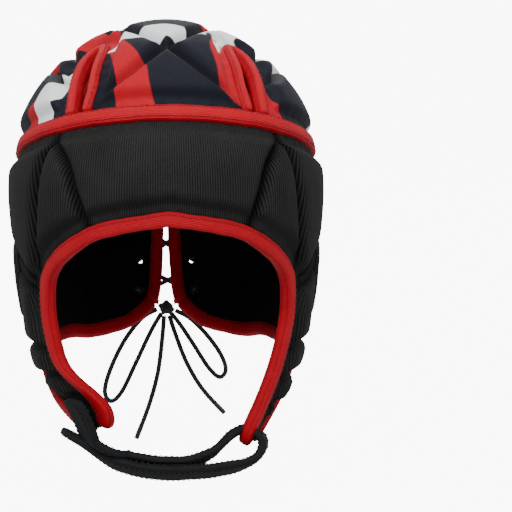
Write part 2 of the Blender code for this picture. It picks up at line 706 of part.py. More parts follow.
def make_tapes():
    """Red binding tapes on the seam, vents, slit, face opening and neck."""
    reach = EDGE_TAPE_WIDTH * SLIT_TAPE_REACH + JOINT_GAP
    ends = 180 - math.degrees(reach / abs(form(180.0, seam_level(180.0))[1]))
    bearings = np.linspace(0, ends, SEAM_STATIONS)
    seam = np.stack([bearings, seam_level(bearings)], axis=1)
    tape("seam_binding", both_sides(seam), SEAM_TAPE_WIDTH, SEAM_TAPE_THICKNESS)
    for where, path in VENTS.items():
        line = inset(path, 0.5 * VENT_TAPE_WIDTH)
        foot = inset(SEAM, 0.5 * SEAM_TAPE_WIDTH + LOOSE_GAP)
        limit = np.interp(line[:, 0], foot[:, 0], foot[:, 1])
        line = line[line[:, 1] < limit]
        for side, half in (("left", line), ("right", mirrored(line))):
            tape(f"{where}_vent_binding_{side}", half, VENT_TAPE_WIDTH, VENT_TAPE_THICKNESS)
    slit = inset(SLIT, 0.5 * EDGE_TAPE_WIDTH)
    slit = slit[slit[:, 0] < 180 - math.degrees(SLIT_TURN_SHARE * EDGE_TAPE_WIDTH / BACK_REACH)]
    top = (180.0, SLIT_TOP - 0.5 * slit_cap())
    left = np.concatenate([slit, [top]])
    right = mirrored(slit)
    right[:, 0] = 360 + right[:, 0]
    tape("slit_binding", np.concatenate([left, right]), EDGE_TAPE_WIDTH, EDGE_TAPE_THICKNESS)
    tape("face_binding", both_sides(inset(FACE, 0.5 * EDGE_TAPE_WIDTH)), EDGE_TAPE_WIDTH,
         EDGE_TAPE_THICKNESS)
    neck = inset(NECK, 0.5 * EDGE_TAPE_WIDTH)
    shut = 180 - math.degrees(reach / abs(form(180.0, NECK_EDGE[-1][1])[1]))
    neck = neck[neck[:, 0] < shut]
    neck = neck[lengths_along(on_form(neck)) > JOINT_GAP]
    tape("neck_binding_left", neck, EDGE_TAPE_WIDTH, EDGE_TAPE_THICKNESS)
    tape("neck_binding_right", mirrored(neck), EDGE_TAPE_WIDTH, EDGE_TAPE_THICKNESS)


def strap_row(row):
    """A chin strap row of shares as a point and an outward normal."""
    x, y, drop, bearing, tilt = row
    place = (x * HALF_WIDTH, y * FRONT_REACH, -DOME_HEIGHT - drop * SKIRT_DEPTH)
    turn, tilt = math.radians(bearing), math.radians(tilt)
    facing = (math.sin(turn) * math.sin(tilt), -math.cos(turn) * math.sin(tilt), -math.cos(tilt))
    return np.array((*place, *facing))


def seat_row(bearing, level, height):
    """A row on a tab at a height over its lining, facing out."""
    where = (np.array([bearing]), np.array([level]))
    place = drawn_tab(lifted(*where, np.array([height])))[0]
    return np.concatenate([place, normals(*where)[0]])


def webbing(name, rows, count):
    """A flat strap along rows of points and outward normals."""
    path = smooth_path(np.array(rows), count)
    centres = path[:, :3]
    along = unit(np.gradient(centres, axis=0))
    out = path[:, 3:]
    out = unit(out - (out * along).sum(1)[:, None] * along)
    across = np.cross(along, out)
    return swept(name, "black_webbing", centres, across, out, STRAP_WIDTH, STRAP_THICKNESS, drawn=False)


def make_strap():
    """Chin strap: sewn to the right tab, round the left tab, and back over itself to its free end."""
    half = 0.5 * STRAP_THICKNESS
    over_tape = TAPE_LIFT + EDGE_TAPE_THICKNESS + JOINT_GAP + half + STRAP_THICKNESS
    on_pad = PAD_THICKNESS + JOINT_GAP + half
    rise = SEAT_LENGTH / SKIRT_DEPTH
    bearing, level = TAB_SEAT
    outer = [strap_row(row) for row in STRAP_FREE_END + STRAP_CHIN]
    outer += [seat_row(bearing, level, over_tape), seat_row(bearing, level - rise, on_pad)]
    webbing("chin_strap", outer, STRAP_STATIONS)
    under = smooth_path(np.array(outer), CURVE_SAMPLES)
    under[:, 3:] = unit(under[:, 3:])
    under[:, :3] -= under[:, 3:] * (STRAP_THICKNESS + LOOSE_GAP)
    at = np.linspace(0, len(outer) - 1, CURVE_SAMPLES)
    inner = [seat_row(-bearing, level - rise, on_pad), seat_row(-bearing, level, over_tape)]
    inner += [strap_row(row) for row in STRAP_RIGHT]
    stations = np.linspace(*INNER_RUN, 4)
    inner += [np.array([np.interp(k, at, under[:, j]) for j in range(6)]) for k in stations]
    inner += [strap_row(row) for row in STRAP_RETURN]
    for share in (SEAT_START_SHARE, 1.0 + SEAT_START_SHARE):
        inner.append(seat_row(bearing, level - share * rise, -(SEAT_HOLLOW + half)))
    webbing("chin_strap_return", inner, RETURN_STATIONS)


def lace_points(rows):
    """Points in space for rows of bearing (past 180 on the right side), level and height."""
    rows = np.array(rows)
    return lifted(rows[:, 0], rows[:, 1], rows[:, 2])


def lace_zigzag(first_side, over_first):
    """Rows of one lace: from the top eyelet, side to side over the slit, down to the last eyelet."""
    low = PAD_THICKNESS + JOINT_GAP + 0.5 * LACE_DIAMETER
    high = low + LACE_DIAMETER + JOINT_GAP
    side, over = first_side, over_first
    bearing, level = EYELETS[0]
    start = 180 + side * (180 - bearing)
    rows = [(start, level, LACE_START_SHARE * PAD_THICKNESS), (start, level, PAD_THICKNESS + JOINT_GAP)]
    for upper, lower in zip(EYELETS[:-1], EYELETS[1:]):
        for end, share, way, turn, raised in LACE_CROSSING:
            half = 180 - (upper if end == 1 else lower)[0]
            level = upper[1] + way * (lower[1] - upper[1]) + turn * LACE_DIAMETER / SKIRT_DEPTH
            rows.append((180 + end * side * share * half, level, high if raised and over else low))
        side, over = -side, not over
    return rows, side


def make_lace():
    """Round lace crossed over the slit between four pairs of eyelets, tied in a bow at the neck."""
    knot_height = KNOT_RADIUS + EDGE_TAPE_THICKNESS + TAPE_LIFT + JOINT_GAP
    knot = lifted(np.array([180.0]), np.array([KNOT_LEVEL]), np.array([knot_height]))[0]
    size = KNOT_RADIUS * np.array(KNOT_SHAPE)

    def at_knot(offset):
        """A point just off the knot's surface, in the direction of an offset."""
        offset = np.array(offset, float)
        reach = 1.0 / np.linalg.norm(offset / size)
        return offset * (reach + KNOT_GAP / np.linalg.norm(offset))

    for name, side, over in (("lace_left", -1, True), ("lace_right", 1, False)):
        rows, last = lace_zigzag(side, over)
        away, outward, up = LACE_TO_KNOT
        end = knot + at_knot((-last * away, outward, up))
        tube(name, "black_cord", np.concatenate([lace_points(rows), [end]]), LACE_STATIONS)
    mesh = bpy.data.meshes.new("lace_knot")
    bm = bmesh.new()
    bmesh.ops.create_uvsphere(bm, u_segments=12, v_segments=7, radius=1.0,
                              matrix=Matrix.Translation(knot) @ Matrix.Diagonal((*size, 1.0)))
    bm.to_mesh(mesh)
    bm.free()
    new_object("lace_knot", mesh, "black_cord")
    for name, offsets in BOW_CORDS.items():
        offsets = np.array(offsets) * np.array((1.0, 1.0, -1.0))
        offsets[0] = at_knot(offsets[0])
        if "loop" in name:
            offsets[-1] = at_knot(offsets[-1])
        length = lengths_along(smooth_path(offsets, CURVE_SAMPLES))[-1]
        tube(name, "black_cord", knot + offsets, int(length / (CORD_STATION_SHARE * LACE_DIAMETER)))


for old in list(bpy.data.objects):
    bpy.data.objects.remove(old)
CAP = bpy.data.collections.new(NAME)
bpy.context.scene.collection.children.link(CAP)
MADE = make_materials()
make_crown()
make_band()
make_tapes()
make_strap()
make_lace()
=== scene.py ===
"""Looks of a padded rugby scrum cap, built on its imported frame.

Metres, +Z up, the face looks along -Y and the wearer's left ear is at +X. Every soft wall lies on one
head form, a function of a bearing (0 at the front, 90 degrees at +X, 180 at the back) and a level (0
on top of the head, 1 where the dome ends, 2 one skirt depth lower), with a height above the lining.
"""
from __future__ import annotations

import json
import logging
import math
from dataclasses import dataclass
from enum import Enum
from typing import Iterable, Sequence

import bpy
import numpy as np
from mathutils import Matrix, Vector

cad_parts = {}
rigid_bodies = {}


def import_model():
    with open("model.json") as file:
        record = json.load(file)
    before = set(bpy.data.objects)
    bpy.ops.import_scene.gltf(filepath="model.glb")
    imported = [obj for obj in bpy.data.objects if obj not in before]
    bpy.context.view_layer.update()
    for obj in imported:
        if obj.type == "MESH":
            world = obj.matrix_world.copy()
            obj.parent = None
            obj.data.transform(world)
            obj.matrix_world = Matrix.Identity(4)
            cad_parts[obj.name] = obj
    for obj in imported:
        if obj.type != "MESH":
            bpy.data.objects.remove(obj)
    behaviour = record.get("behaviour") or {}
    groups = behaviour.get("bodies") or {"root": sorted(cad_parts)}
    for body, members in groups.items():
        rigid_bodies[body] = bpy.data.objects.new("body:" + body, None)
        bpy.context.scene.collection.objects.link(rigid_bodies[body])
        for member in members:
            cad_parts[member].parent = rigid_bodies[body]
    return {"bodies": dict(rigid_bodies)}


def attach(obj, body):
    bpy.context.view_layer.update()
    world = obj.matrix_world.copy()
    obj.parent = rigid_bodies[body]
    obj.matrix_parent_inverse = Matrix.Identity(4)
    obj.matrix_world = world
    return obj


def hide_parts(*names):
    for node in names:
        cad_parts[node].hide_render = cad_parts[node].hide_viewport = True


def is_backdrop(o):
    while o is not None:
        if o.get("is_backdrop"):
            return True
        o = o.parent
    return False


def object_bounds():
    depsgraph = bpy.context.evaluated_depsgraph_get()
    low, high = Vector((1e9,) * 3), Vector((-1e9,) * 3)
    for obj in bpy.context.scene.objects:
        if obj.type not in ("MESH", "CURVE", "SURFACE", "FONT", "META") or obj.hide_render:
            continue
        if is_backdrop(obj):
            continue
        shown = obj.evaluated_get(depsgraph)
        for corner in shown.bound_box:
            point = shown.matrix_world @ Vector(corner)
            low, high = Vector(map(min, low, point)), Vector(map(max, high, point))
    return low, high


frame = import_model()

Array = np.ndarray
Rows = Sequence[Sequence[float]]
Triple = tuple[float, float, float]
Material, Object = bpy.types.Material, bpy.types.Object
LOG = logging.getLogger("scrum_cap")
MM = 0.001
# heights above the lining that strap and lace clear, and the gap that they keep
PAD_TOP = 10.2 * MM
TAPE_TOP = 6.6 * MM
GAP = 0.5 * MM
LINING_COLOUR = (0.0060, 0.0060, 0.0062)


def ease(x: Array) -> Array:
    """Smooth step from 0 to 1: x squared times (3 - 2x)."""
    x = np.clip(x, 0.0, 1.0)
    return x * x * (3 - 2 * x)


def unit(vectors: Array) -> Array:
    """Vectors divided by their own length."""
    return vectors / np.maximum(np.linalg.norm(vectors, axis=-1, keepdims=True), 1e-12)


def hermite(values: Array, tangents: Array, i: Array, s: Array, span: Array | float = 1.0) -> Array:
    """Cubic pieces through values with given tangents.

    Args:
        values: Rows the curve passes through.
        tangents: Slope of the curve at each row.
        i: Which piece each reading is on.
        s: How far along its piece each reading is, from 0 to 1.
        span: Length of each piece.

    Returns:
        The curve's value at each reading: (1+2s)(1-s)^2 a + s(1-s)^2 ta + s^2(3-2s) b + s^2(s-1) tb.
    """
    return ((1 + 2 * s) * (1 - s) ** 2 * values[i] + s * (1 - s) ** 2 * span * tangents[i]
            + s * s * (3 - 2 * s) * values[i + 1] + s * s * (s - 1) * span * tangents[i + 1])


def smooth_path(rows: Rows, count: int) -> Array:
    """A smooth curve through the rows, read at count steps of equal row length."""
    rows = np.asarray(rows, float)
    at = np.linspace(0, len(rows) - 1, count)
    i = np.clip(at.astype(int), 0, len(rows) - 2)
    return hermite(rows, np.gradient(rows, axis=0), i, (at - i)[:, None])


def lengths_along(points: Array) -> Array:
    """Length from the first point to each point."""
    return np.concatenate([[0.0], np.cumsum(np.linalg.norm(np.diff(points, axis=0), axis=1))])


def read_at(places: Array, along: Array, rows: Array) -> Array:
    """Rows read again at other places along their line."""
    return np.stack([np.interp(places, along, column) for column in rows.T], axis=1)


def circle(count: int) -> Array:
    """Angles of a full turn in equal steps."""
    return np.arange(count) * 2 * math.pi / count


def ring_quads(rows: int, sides: int, closed: bool = False) -> Array:
    """Quads between rings of points, and from the last ring to the first where that is closed."""
    number = np.arange(rows * sides).reshape(rows, sides)
    ahead, aside = np.roll(number, -1, axis=0), np.roll(number, -1, axis=1)
    quads = np.stack([number, aside, np.roll(ahead, -1, axis=1), ahead], axis=-1)
    return (quads if closed else quads[:-1]).reshape(-1, 4)


def inward(quads: Array) -> Array:
    """The quads turned over, each from the same corner."""
    return quads[:, [0, 3, 2, 1]]


def evenly(points: Array, step: float) -> Array:
    """The polyline read again at points about one step apart.

    Args:
        points: Rows whose first three numbers are a place.
        step: Spacing wanted, in metres.

    Returns:
        Rows at equal lengths along the line.
    """
    along = lengths_along(points[:, :3])
    return read_at(np.linspace(0, along[-1], max(int(round(along[-1] / step)), 2) + 1), along, points)


def ripple(points: Array, wavelength: float, seed: int) -> Array:
    """A gentle unevenness: the mean of six sine waves in fixed, mixed directions, from -1 to 1."""
    turns = np.random.default_rng(seed).normal(size=(6, 4))
    waves = [np.sin(points @ unit(t[:3]) * 2 * math.pi / wavelength + 7 * t[3]) for t in turns]
    return np.mean(waves, axis=0)


@dataclass(frozen=True)
class HeadForm:
    """The head form that every wall lies on, measured at the lining."""

    half_width: float = 0.080
    front_reach: float = 0.097
    back_reach: float = 0.103
    dome_height: float = 0.083
    skirt_depth: float = 0.150
    squareness: float = 2.2
    tab_draw: Triple = (0.0130, -0.0140, 0.0190)
    tab_draw_drop: tuple[float, float] = (0.60, 0.94)
    tab_draw_side: float = 0.30
    tab_draw_front: tuple[float, float] = (0.20, 0.65)
    # drop as a share of the skirt depth; width, front and back reach as shares
    skirt: tuple[tuple[float, ...], ...] = (
        (0.000, 1.000, 1.000, 1.000),
        (0.200, 0.985, 0.975, 0.985),
        (0.400, 0.955, 0.930, 0.920),
        (0.567, 0.905, 0.870, 0.800),
        (0.733, 0.820, 0.800, 0.660),
        (0.900, 0.680, 0.720, 0.500),
        (1.067, 0.500, 0.630, 0.360),
    )

    def points(self, bearing: Array | float, level: Array | float) -> Array:
        """Points of the lining.

        A superellipse of the bearing, scaled by the sine of the dome's angle and below the dome by
        the skirt's shares; the height is the dome's cosine, then a straight drop.

        Args:
            bearing: Degrees round the head, negative on the right side.
            level: 0 at the top, 1 at the foot of the dome, 2 one skirt depth lower.

        Returns:
            Places, with one more axis than the arguments.
        """
        bearing, level = np.broadcast_arrays(np.asarray(bearing, float), np.asarray(level, float))
        dome = np.clip(level, 0.0, 1.0) * math.pi / 2
        drop = np.maximum(level - 1.0, 0.0)
        table = np.array(self.skirt)
        knots, shares = table[:, 0], table[:, 1:]
        tangents = np.gradient(shares, knots, axis=0)
        tangents[0] = 0.0
        at = np.clip(drop, knots[0], knots[-1])
        i = np.clip(np.searchsorted(knots, at, side="right") - 1, 0, len(knots) - 2)
        span = (knots[i + 1] - knots[i])[..., None]
        shape = hermite(shares, tangents, i, (at - knots[i])[..., None] / span, span)
        sine, cosine = np.sin(np.radians(bearing)), np.cos(np.radians(bearing))
        reach = np.where(cosine > 0, self.front_reach * shape[..., 1], self.back_reach * shape[..., 2])
        power = self.squareness
        round_off = (np.abs(sine) ** power + np.abs(cosine) ** power) ** (-1 / power)
        x = self.half_width * shape[..., 0] * np.sin(dome) * sine * round_off
        y = -reach * np.sin(dome) * cosine * round_off
        z = self.dome_height * (np.cos(dome) - 1.0) - self.skirt_depth * drop
        return np.stack([x, y, z], axis=-1)

    def slopes(self, bearing: Array, level: Array) -> tuple[Array, Array]:
        """Central differences of the form along the bearing, per degree, and the level."""
        step = 0.01
        level = np.maximum(level, 2 * step)
        across = (self.points(bearing + step, level) - self.points(bearing - step, level)) / (2 * step)
        down = (self.points(bearing, level + step) - self.points(bearing, level - step)) / (2 * step)
        return across, down

    def normals(self, bearing: Array, level: Array) -> Array:
        """Outward normals: the cross product of the two slopes."""
        across, down = self.slopes(np.asarray(bearing, float), np.asarray(level, float))
        return unit(np.cross(down, across))

    def lifted(self, bearing: Array, level: Array, height: Array | float) -> Array:
        """Points at a height above the lining, along its normals."""
        height = np.asarray(height, float)
        return self.points(bearing, level) + self.normals(bearing, level) * height[..., None]

    def drawn(self, points: Array) -> Array:
        """The points, with the right tab drawn forward and inward by the strap, eased in from above."""
        points = np.asarray(points, float)
        low, high = self.tab_draw_drop
        start, end = self.tab_draw_front
        drop = (-points[..., 2] - self.dome_height) / self.skirt_depth
        pull = ease((drop - low) / (high - low))
        pull = pull * ease(-points[..., 0] / (self.tab_draw_side * self.half_width))
        pull = pull * ease((-points[..., 1] / self.front_reach - start) / (end - start))
        return points + pull[..., None] * np.array(self.tab_draw)


HEAD = HeadForm()


def on_form(path: Array) -> Array:
    """Places of a trail of bearings and levels."""
    return HEAD.points(path[:, 0], path[:, 1])


def trail(rows: Rows, step: float) -> Array:
    """A smooth trail through rows of bearing and level, with points about one step apart."""
    fine = smooth_path(rows, 24 * len(rows))
    along = lengths_along(on_form(fine))
    return read_at(np.linspace(0, along[-1], max(int(round(along[-1] / step)), 1) + 1), along, fine)


def sideways(path: Array) -> Array:
    """Unit vectors on the form to the left of a trail."""
    along = unit(np.gradient(on_form(path), axis=0))
    return unit(np.cross(HEAD.normals(path[:, 0], path[:, 1]), along))


def inset(path: Array, distance: float) -> Array:
    """The trail moved to its left along the form.

    Args:
        path: Rows of bearing and level.
        distance: How far, in metres; negative moves it to its right.

    Returns:
        The moved trail: the step is solved in the form's two slopes.
    """
    move = sideways(path) * distance
    across, down = HEAD.slopes(path[:, 0], path[:, 1])
    aa, ad, dd = (across * across).sum(1), (across * down).sum(1), (down * down).sum(1)
    ma, md = (move * across).sum(1), (move * down).sum(1)
    det = aa * dd - ad * ad
    moved = path + np.stack([(ma * dd - md * ad) / det, (md * aa - ma * ad) / det], axis=1)
    moved[np.abs(path[:, 0]) < 1e-6, 0] = 0.0
    return moved


def mirrored(path: Array) -> Array:
    """The same trail on the right side, run the other way so that its left stays inward."""
    return path[::-1] * np.array((-1.0, 1.0))


def both_sides(path: Array) -> Array:
    """A trail from the right side through the middle to the left side."""
    return np.concatenate([mirrored(path)[:-1], path])


def inside(points: Array, outline: Array) -> Array:
    """Which flat points lie inside a closed outline, by counting the edges to one side."""
    x, y = points[..., 0], points[..., 1]
    odd = np.zeros(x.shape, bool)
    for (ax, ay), (bx, by) in zip(outline, np.roll(outline, -1, axis=0)):
        if ay != by:
            odd ^= ((ay > y) != (by > y)) & (x < (bx - ax) * (y - ay) / (by - ay) + ax)
    return odd


def distance_to(points: Array, lines: Iterable[Array]) -> tuple[Array, Array]:
    """Least distance from each point to a set of polylines in space.

    Args:
        points: Places.
        lines: Polylines of places.

    Returns:
        The distances, and how far along its line the nearest spot of each is.
    """
    best = np.full(points.shape[:-1], 1.0)
    run = np.zeros(points.shape[:-1])
    for line in lines:
        along = lengths_along(line)
        for a, b, start in zip(line[:-1], line[1:], along):
            edge = b - a
            share = np.clip((points - a) @ edge / max(edge @ edge, 1e-12), 0, 1)
            gap = np.linalg.norm(points - a - share[..., None] * edge, axis=-1)
            nearer = gap < best
            best = np.where(nearer, gap, best)
            run = np.where(nearer, start + share * np.linalg.norm(edge), run)
    return best, run


@dataclass(frozen=True)
class Pattern:
    """Trails of the cap's left half: its seam, edges, grooves, slits, vents and holes."""

    tape: float = 0.0085
    seam_tape: float = 0.0096
    vent_tape: float = 0.0062
    seam_series: tuple[float, ...] = (0.840, -0.165, -0.025, 0.008)
    slit_top: float = 0.470
    face_rows: Rows = (
        (0, 1.087), (16, 1.113), (28, 1.150), (41, 1.233), (48, 1.304), (50.5, 1.367), (52, 1.467),
        (51, 1.587), (49.3, 1.687), (47, 1.800), (46, 1.900), (49, 1.958), (55, 1.972),
    )
    neck_rows: Rows = (
        (55, 1.972), (61, 1.960), (66, 1.915), (69.5, 1.872), (75, 1.819), (85, 1.746), (97.5, 1.694),
        (111.5, 1.669), (128, 1.662), (142, 1.676), (159.5, 1.657), (168, 1.622), (175.6, 1.570),
    )
    # level, and half the gap as a share of the tape's width
    slit_rows: Rows = (
        (1.570, 0.77), (1.50, 0.44), (1.35, 0.24), (1.19, 0.16), (1.05, 0.34), (0.943, 0.46),
        (0.80, 0.30), (0.64, 0.12), (0.53, 0.06),
    )
    vent_rows: tuple[Rows, Rows] = (
        ((36.8, 0.690), (37.5, 0.640), (39.5, 0.548), (46.5, 0.430), (52.5, 0.365), (58, 0.335),
         (57.5, 0.385), (52.5, 0.450), (45.0, 0.560), (41.0, 0.650), (40.4, 0.712)),
        ((117.3, 0.960), (119.5, 0.905), (126.4, 0.790), (130.6, 0.650), (129.5, 0.520),
         (128.5, 0.440), (132.8, 0.500), (135.2, 0.650), (131.0, 0.805), (124.0, 0.920),
         (122.0, 0.980)),
    )
    band_grooves: tuple[Rows, ...] = (
        ((44.0, 0.740), (45.5, 0.780), (49, 0.870), (51.5, 1.030), (53, 1.140), (54.5, 1.250),
         (53, 1.320)),
        ((45.5, 0.780), (37, 0.873), (33.5, 0.968), (30, 1.060), (28.5, 1.120)),
        ((52, 1.335), (58.3, 1.313), (71, 1.233), (91.6, 1.179), (107, 1.115), (119, 1.080)),
        ((55, 1.362), (62, 1.340), (71, 1.285)),
        ((72.7, 1.232), (72.7, 1.308), (75, 1.430), (78.3, 1.521)),
        ((78.3, 1.521), (92.4, 1.489), (114, 1.470), (121.7, 1.407)),
        ((55, 1.590), (61.7, 1.581), (86.5, 1.590), (100, 1.600)),
        ((52, 1.705), (64, 1.695), (84, 1.716)),
        ((50, 1.800), (60, 1.800), (74, 1.815)),
        ((122, 0.900), (120, 1.000), (119, 1.080), (118.7, 1.251), (121.7, 1.407)),
        ((146, 0.900), (145, 1.031), (141.5, 1.192), (141.3, 1.371), (138.5, 1.500), (137.6, 1.650)),
        ((168, 1.250), (156, 1.305), (142, 1.363), (121.7, 1.407)),
    )
    crown_grooves: tuple[Rows, ...] = (
        ((0, 0.310), (12, 0.410), (19, 0.485), (27, 0.565), (31, 0.625), (34, 0.690)),
        ((0, 0.310), (25, 0.225), (55, 0.180), (75, 0.195), (70, 0.270), (60, 0.330)),
        ((55.5, 0.400), (74, 0.415), (88, 0.420), (105, 0.420), (127, 0.425)),
        ((88, 0.420), (88, 0.490)),
        ((88, 0.490), (68, 0.525), (48, 0.545)),
        ((88, 0.490), (98, 0.600), (107, 0.730), (112, 0.870)),
        ((75, 0.195), (104, 0.185), (124, 0.270), (129, 0.440)),
        ((152, 0.620), (158, 0.780), (162.5, 0.900), (163.5, 0.960)),
        ((152, 0.620), (161, 0.535), (173, 0.520)),
        ((152, 0.620), (143, 0.650), (134, 0.690)),
        ((152, 0.620), (148, 0.460), (155, 0.300), (180, 0.240)),
    )
    ear_slits: tuple[Rows, ...] = (
        ((85, 1.262), (85.7, 1.433)), ((93.4, 1.239), (94, 1.418)), ((102.8, 1.205), (103.4, 1.399)),
    )
    perforation_shares: tuple[tuple[float, ...], ...] = ((0.25, 0.80), (0.52,), (0.25, 0.80))
    perforation: float = 0.0040
    eyelets: Rows = ((169.6, 1.100), (168.9, 1.247), (167.9, 1.396), (166.6, 1.515))
    eyelet: float = 0.0038
    groove_step: float = 0.006

    def seam_level(self, bearing: Array | float) -> Array | float:
        """Level of the seam between crown and band: a cosine series of the bearing."""
        angle = np.radians(bearing)
        return sum(share * np.cos(k * angle) for k, share in enumerate(self.seam_series))

    def seam(self, last: float = 180.0, count: int = 121) -> Array:
        """The seam's trail from the front to a last bearing."""
        bearing = np.linspace(0, last, count)
        return np.stack([bearing, self.seam_level(bearing)], axis=1)

    def face(self, step: float) -> Array:
        """Free edge of the face opening, from the brow to the tab's end."""
        return trail(self.face_rows, step)

    def neck(self, step: float) -> Array:
        """Free edge from the tab's end along the neck to the slit."""
        return trail(self.neck_rows, step)

    def slit(self, step: float) -> Array:
        """Free edge of the back slit, from the neck to its top."""
        rows = [(180 - math.degrees(self.tape * share / abs(HEAD.points(180.0, level)[1])), level)
                for level, share in self.slit_rows]
        return trail(rows + [(179.99, self.slit_top)], step)

    def vents(self, step: float) -> list[Array]:
        """Free edges of the front and rear vents."""
        return [trail(rows, step) for rows in self.vent_rows]

    def lines(self, table: Sequence[Rows]) -> list[Array]:
        """Places along grooves or slits."""
        return [on_form(trail(rows, self.groove_step)) for rows in table]

    def holes(self) -> list[Triple]:
        """Bearing, level and radius of each round hole."""
        found = [(b, v, 0.5 * self.eyelet) for b, v in self.eyelets]
        for slit, shares in zip(self.ear_slits, self.perforation_shares):
            top, foot = np.array(slit)
            found += [(*(top + (foot - top) * share), 0.5 * self.perforation) for share in shares]
        return found


CUT = Pattern()


def feed(slot: bpy.types.NodeSocket, value: Sock | object) -> None:
    """Links a value to an input socket, or sets it there."""
    if isinstance(value, Sock):
        value.tree.links.new(value.socket, slot)
    else:
        slot.default_value = value


class Sock:
    """A shader socket with operators, each of which adds a Math node."""

    def __init__(self, tree: bpy.types.NodeTree, socket: bpy.types.NodeSocket) -> None:
        """Wraps an output socket of a node tree."""
        self.tree, self.socket = tree, socket

    def math(self, operation: str, *others: Sock | float, first: Sock | float | None = None) -> Sock:
        """A Math node on this value.

        Args:
            operation: Blender's name of the operation.
            others: Its second and third values.
            first: What stands in this value's place, which then comes second.

        Returns:
            The node's result.
        """
        node = self.tree.nodes.new("ShaderNodeMath")
        node.operation = operation
        values = [self, *others] if first is None else [first, self, *others]
        for slot, value in zip(node.inputs, values):
            feed(slot, value)
        return Sock(self.tree, node.outputs[0])

    def __add__(self, other: Sock | float) -> Sock:
        """Sum."""
        return self.math("ADD", other)

    __radd__ = __add__

    def __mul__(self, other: Sock | float) -> Sock:
        """Product."""
        return self.math("MULTIPLY", other)

    __rmul__ = __mul__

    def __sub__(self, other: Sock | float) -> Sock:
        """Difference."""
        return self.math("SUBTRACT", other)

    def __rsub__(self, other: float) -> Sock:
        """Difference from a number."""
        return self.math("SUBTRACT", first=other)

    def __truediv__(self, other: Sock | float) -> Sock:
        """Quotient."""
        return self.math("DIVIDE", other)

    def sin(self) -> Sock:
        """Sine."""
        return self.math("SINE")

    def abs(self) -> Sock:
        """Size without its sign."""
        return self.math("ABSOLUTE")

    def most(self, other: Sock | float) -> Sock:
        """The larger of two."""
        return self.math("MAXIMUM", other)

    def wave(self, period: float, shift: Sock | float = 0.0) -> Sock:
        """Sine wave of a period in metres, shifted by an angle."""
        return (self * (2 * math.pi / period) + shift).sin()

    def between(self, low: float, high: float) -> Sock:
        """Smooth step from 0 at low to 1 at high."""
        node = self.tree.nodes.new("ShaderNodeMapRange")
        node.interpolation_type = "SMOOTHSTEP"
        for slot, value in zip(node.inputs, (self, low, high, 0.0, 1.0)):
            feed(slot, value)
        return Sock(self.tree, node.outputs[0])


class Shader:
    """One Principled material under construction."""

    def __init__(self, name: str, **plain: object) -> None:
        """A new material whose plain values go on the shader's own sockets.

        Args:
            name: Name of the material.
            plain: Values of the shader's sockets, spaces written as underscores.
        """
        self.material = bpy.data.materials.new(name)
        self.material.use_nodes = True
        self.tree = self.material.node_tree
        self.body = self.tree.nodes["Principled BSDF"]
        for key, value in plain.items():
            self.body.inputs[key.replace("_", " ")].default_value = value

    def node(self, kind: str, settings: dict | None = None, **values: object) -> bpy.types.Node:
        """Any node.

        Args:
            kind: Its type's name, without ShaderNode.
            settings: Settings, which are made first.
            values: Values or links of its sockets, spaces written as underscores.

        Returns:
            The node.
        """
        node = self.tree.nodes.new("ShaderNode" + kind)
        for key, value in (settings or {}).items():
            setattr(node, key, value)
        for key, value in values.items():
            feed(node.inputs[key.replace("_", " ")], value)
        return node

    def out(self, node: bpy.types.Node, name: str | int = 0) -> Sock:
        """One result of a node."""
        return Sock(self.tree, node.outputs[name])

    def attribute(self, name: str) -> tuple[Sock, Sock, Sock]:
        """The three numbers of a mesh attribute."""
        source = self.node("Attribute", {"attribute_name": name})
        split = self.node("SeparateXYZ", Vector=self.out(source, "Vector"))
        return self.out(split, 0), self.out(split, 1), self.out(split, 2)

    def place(self) -> Sock:
        """Object coordinates."""
        return self.out(self.node("TexCoord"), "Object")

    def noise(self, scale: float, detail: float = 3.0, where: Sock | None = None) -> Sock:
        """Noise from 0 to 1, scale in waves a metre."""
        node = self.node("TexNoise", Vector=where or self.place(), Scale=scale, Detail=detail)
        return self.out(node, "Fac")

    def mix(self, share: Sock, a: Sock | tuple, b: Sock | tuple) -> Sock:
        """Colour a turning into colour b."""
        node = self.node("Mix", {"data_type": "RGBA"})
        feed(node.inputs[0], share)
        for slot, value in ((6, a), (7, b)):
            feed(node.inputs[slot], value if isinstance(value, Sock) else (*value, 1.0))
        return self.out(node, 2)

    def finish(self, colour: Sock, roughness: Sock, relief: Sock, depth: float) -> Material:
        """Joins what varies to the shader.

        Args:
            colour: Base colour.
            roughness: Roughness.
            relief: Height of the surface, about 0 to 1.
            depth: What a height of 1 is, in metres.

        Returns:
            The finished material.
        """
        bump = self.node("Bump", Height=relief, Distance=depth, Strength=1.0)
        for slot, value in (("Base Color", colour), ("Roughness", roughness), ("Normal", self.out(bump))):
            feed(self.body.inputs[slot], value)
        return self.material


class Slot(Enum):
    """The record's material slots."""

    PRINT = "printed_fabric"
    FOAM = "black_foam"
    TAPE = "red_tape"
    WEBBING = "black_webbing"
    CORD = "black_cord"


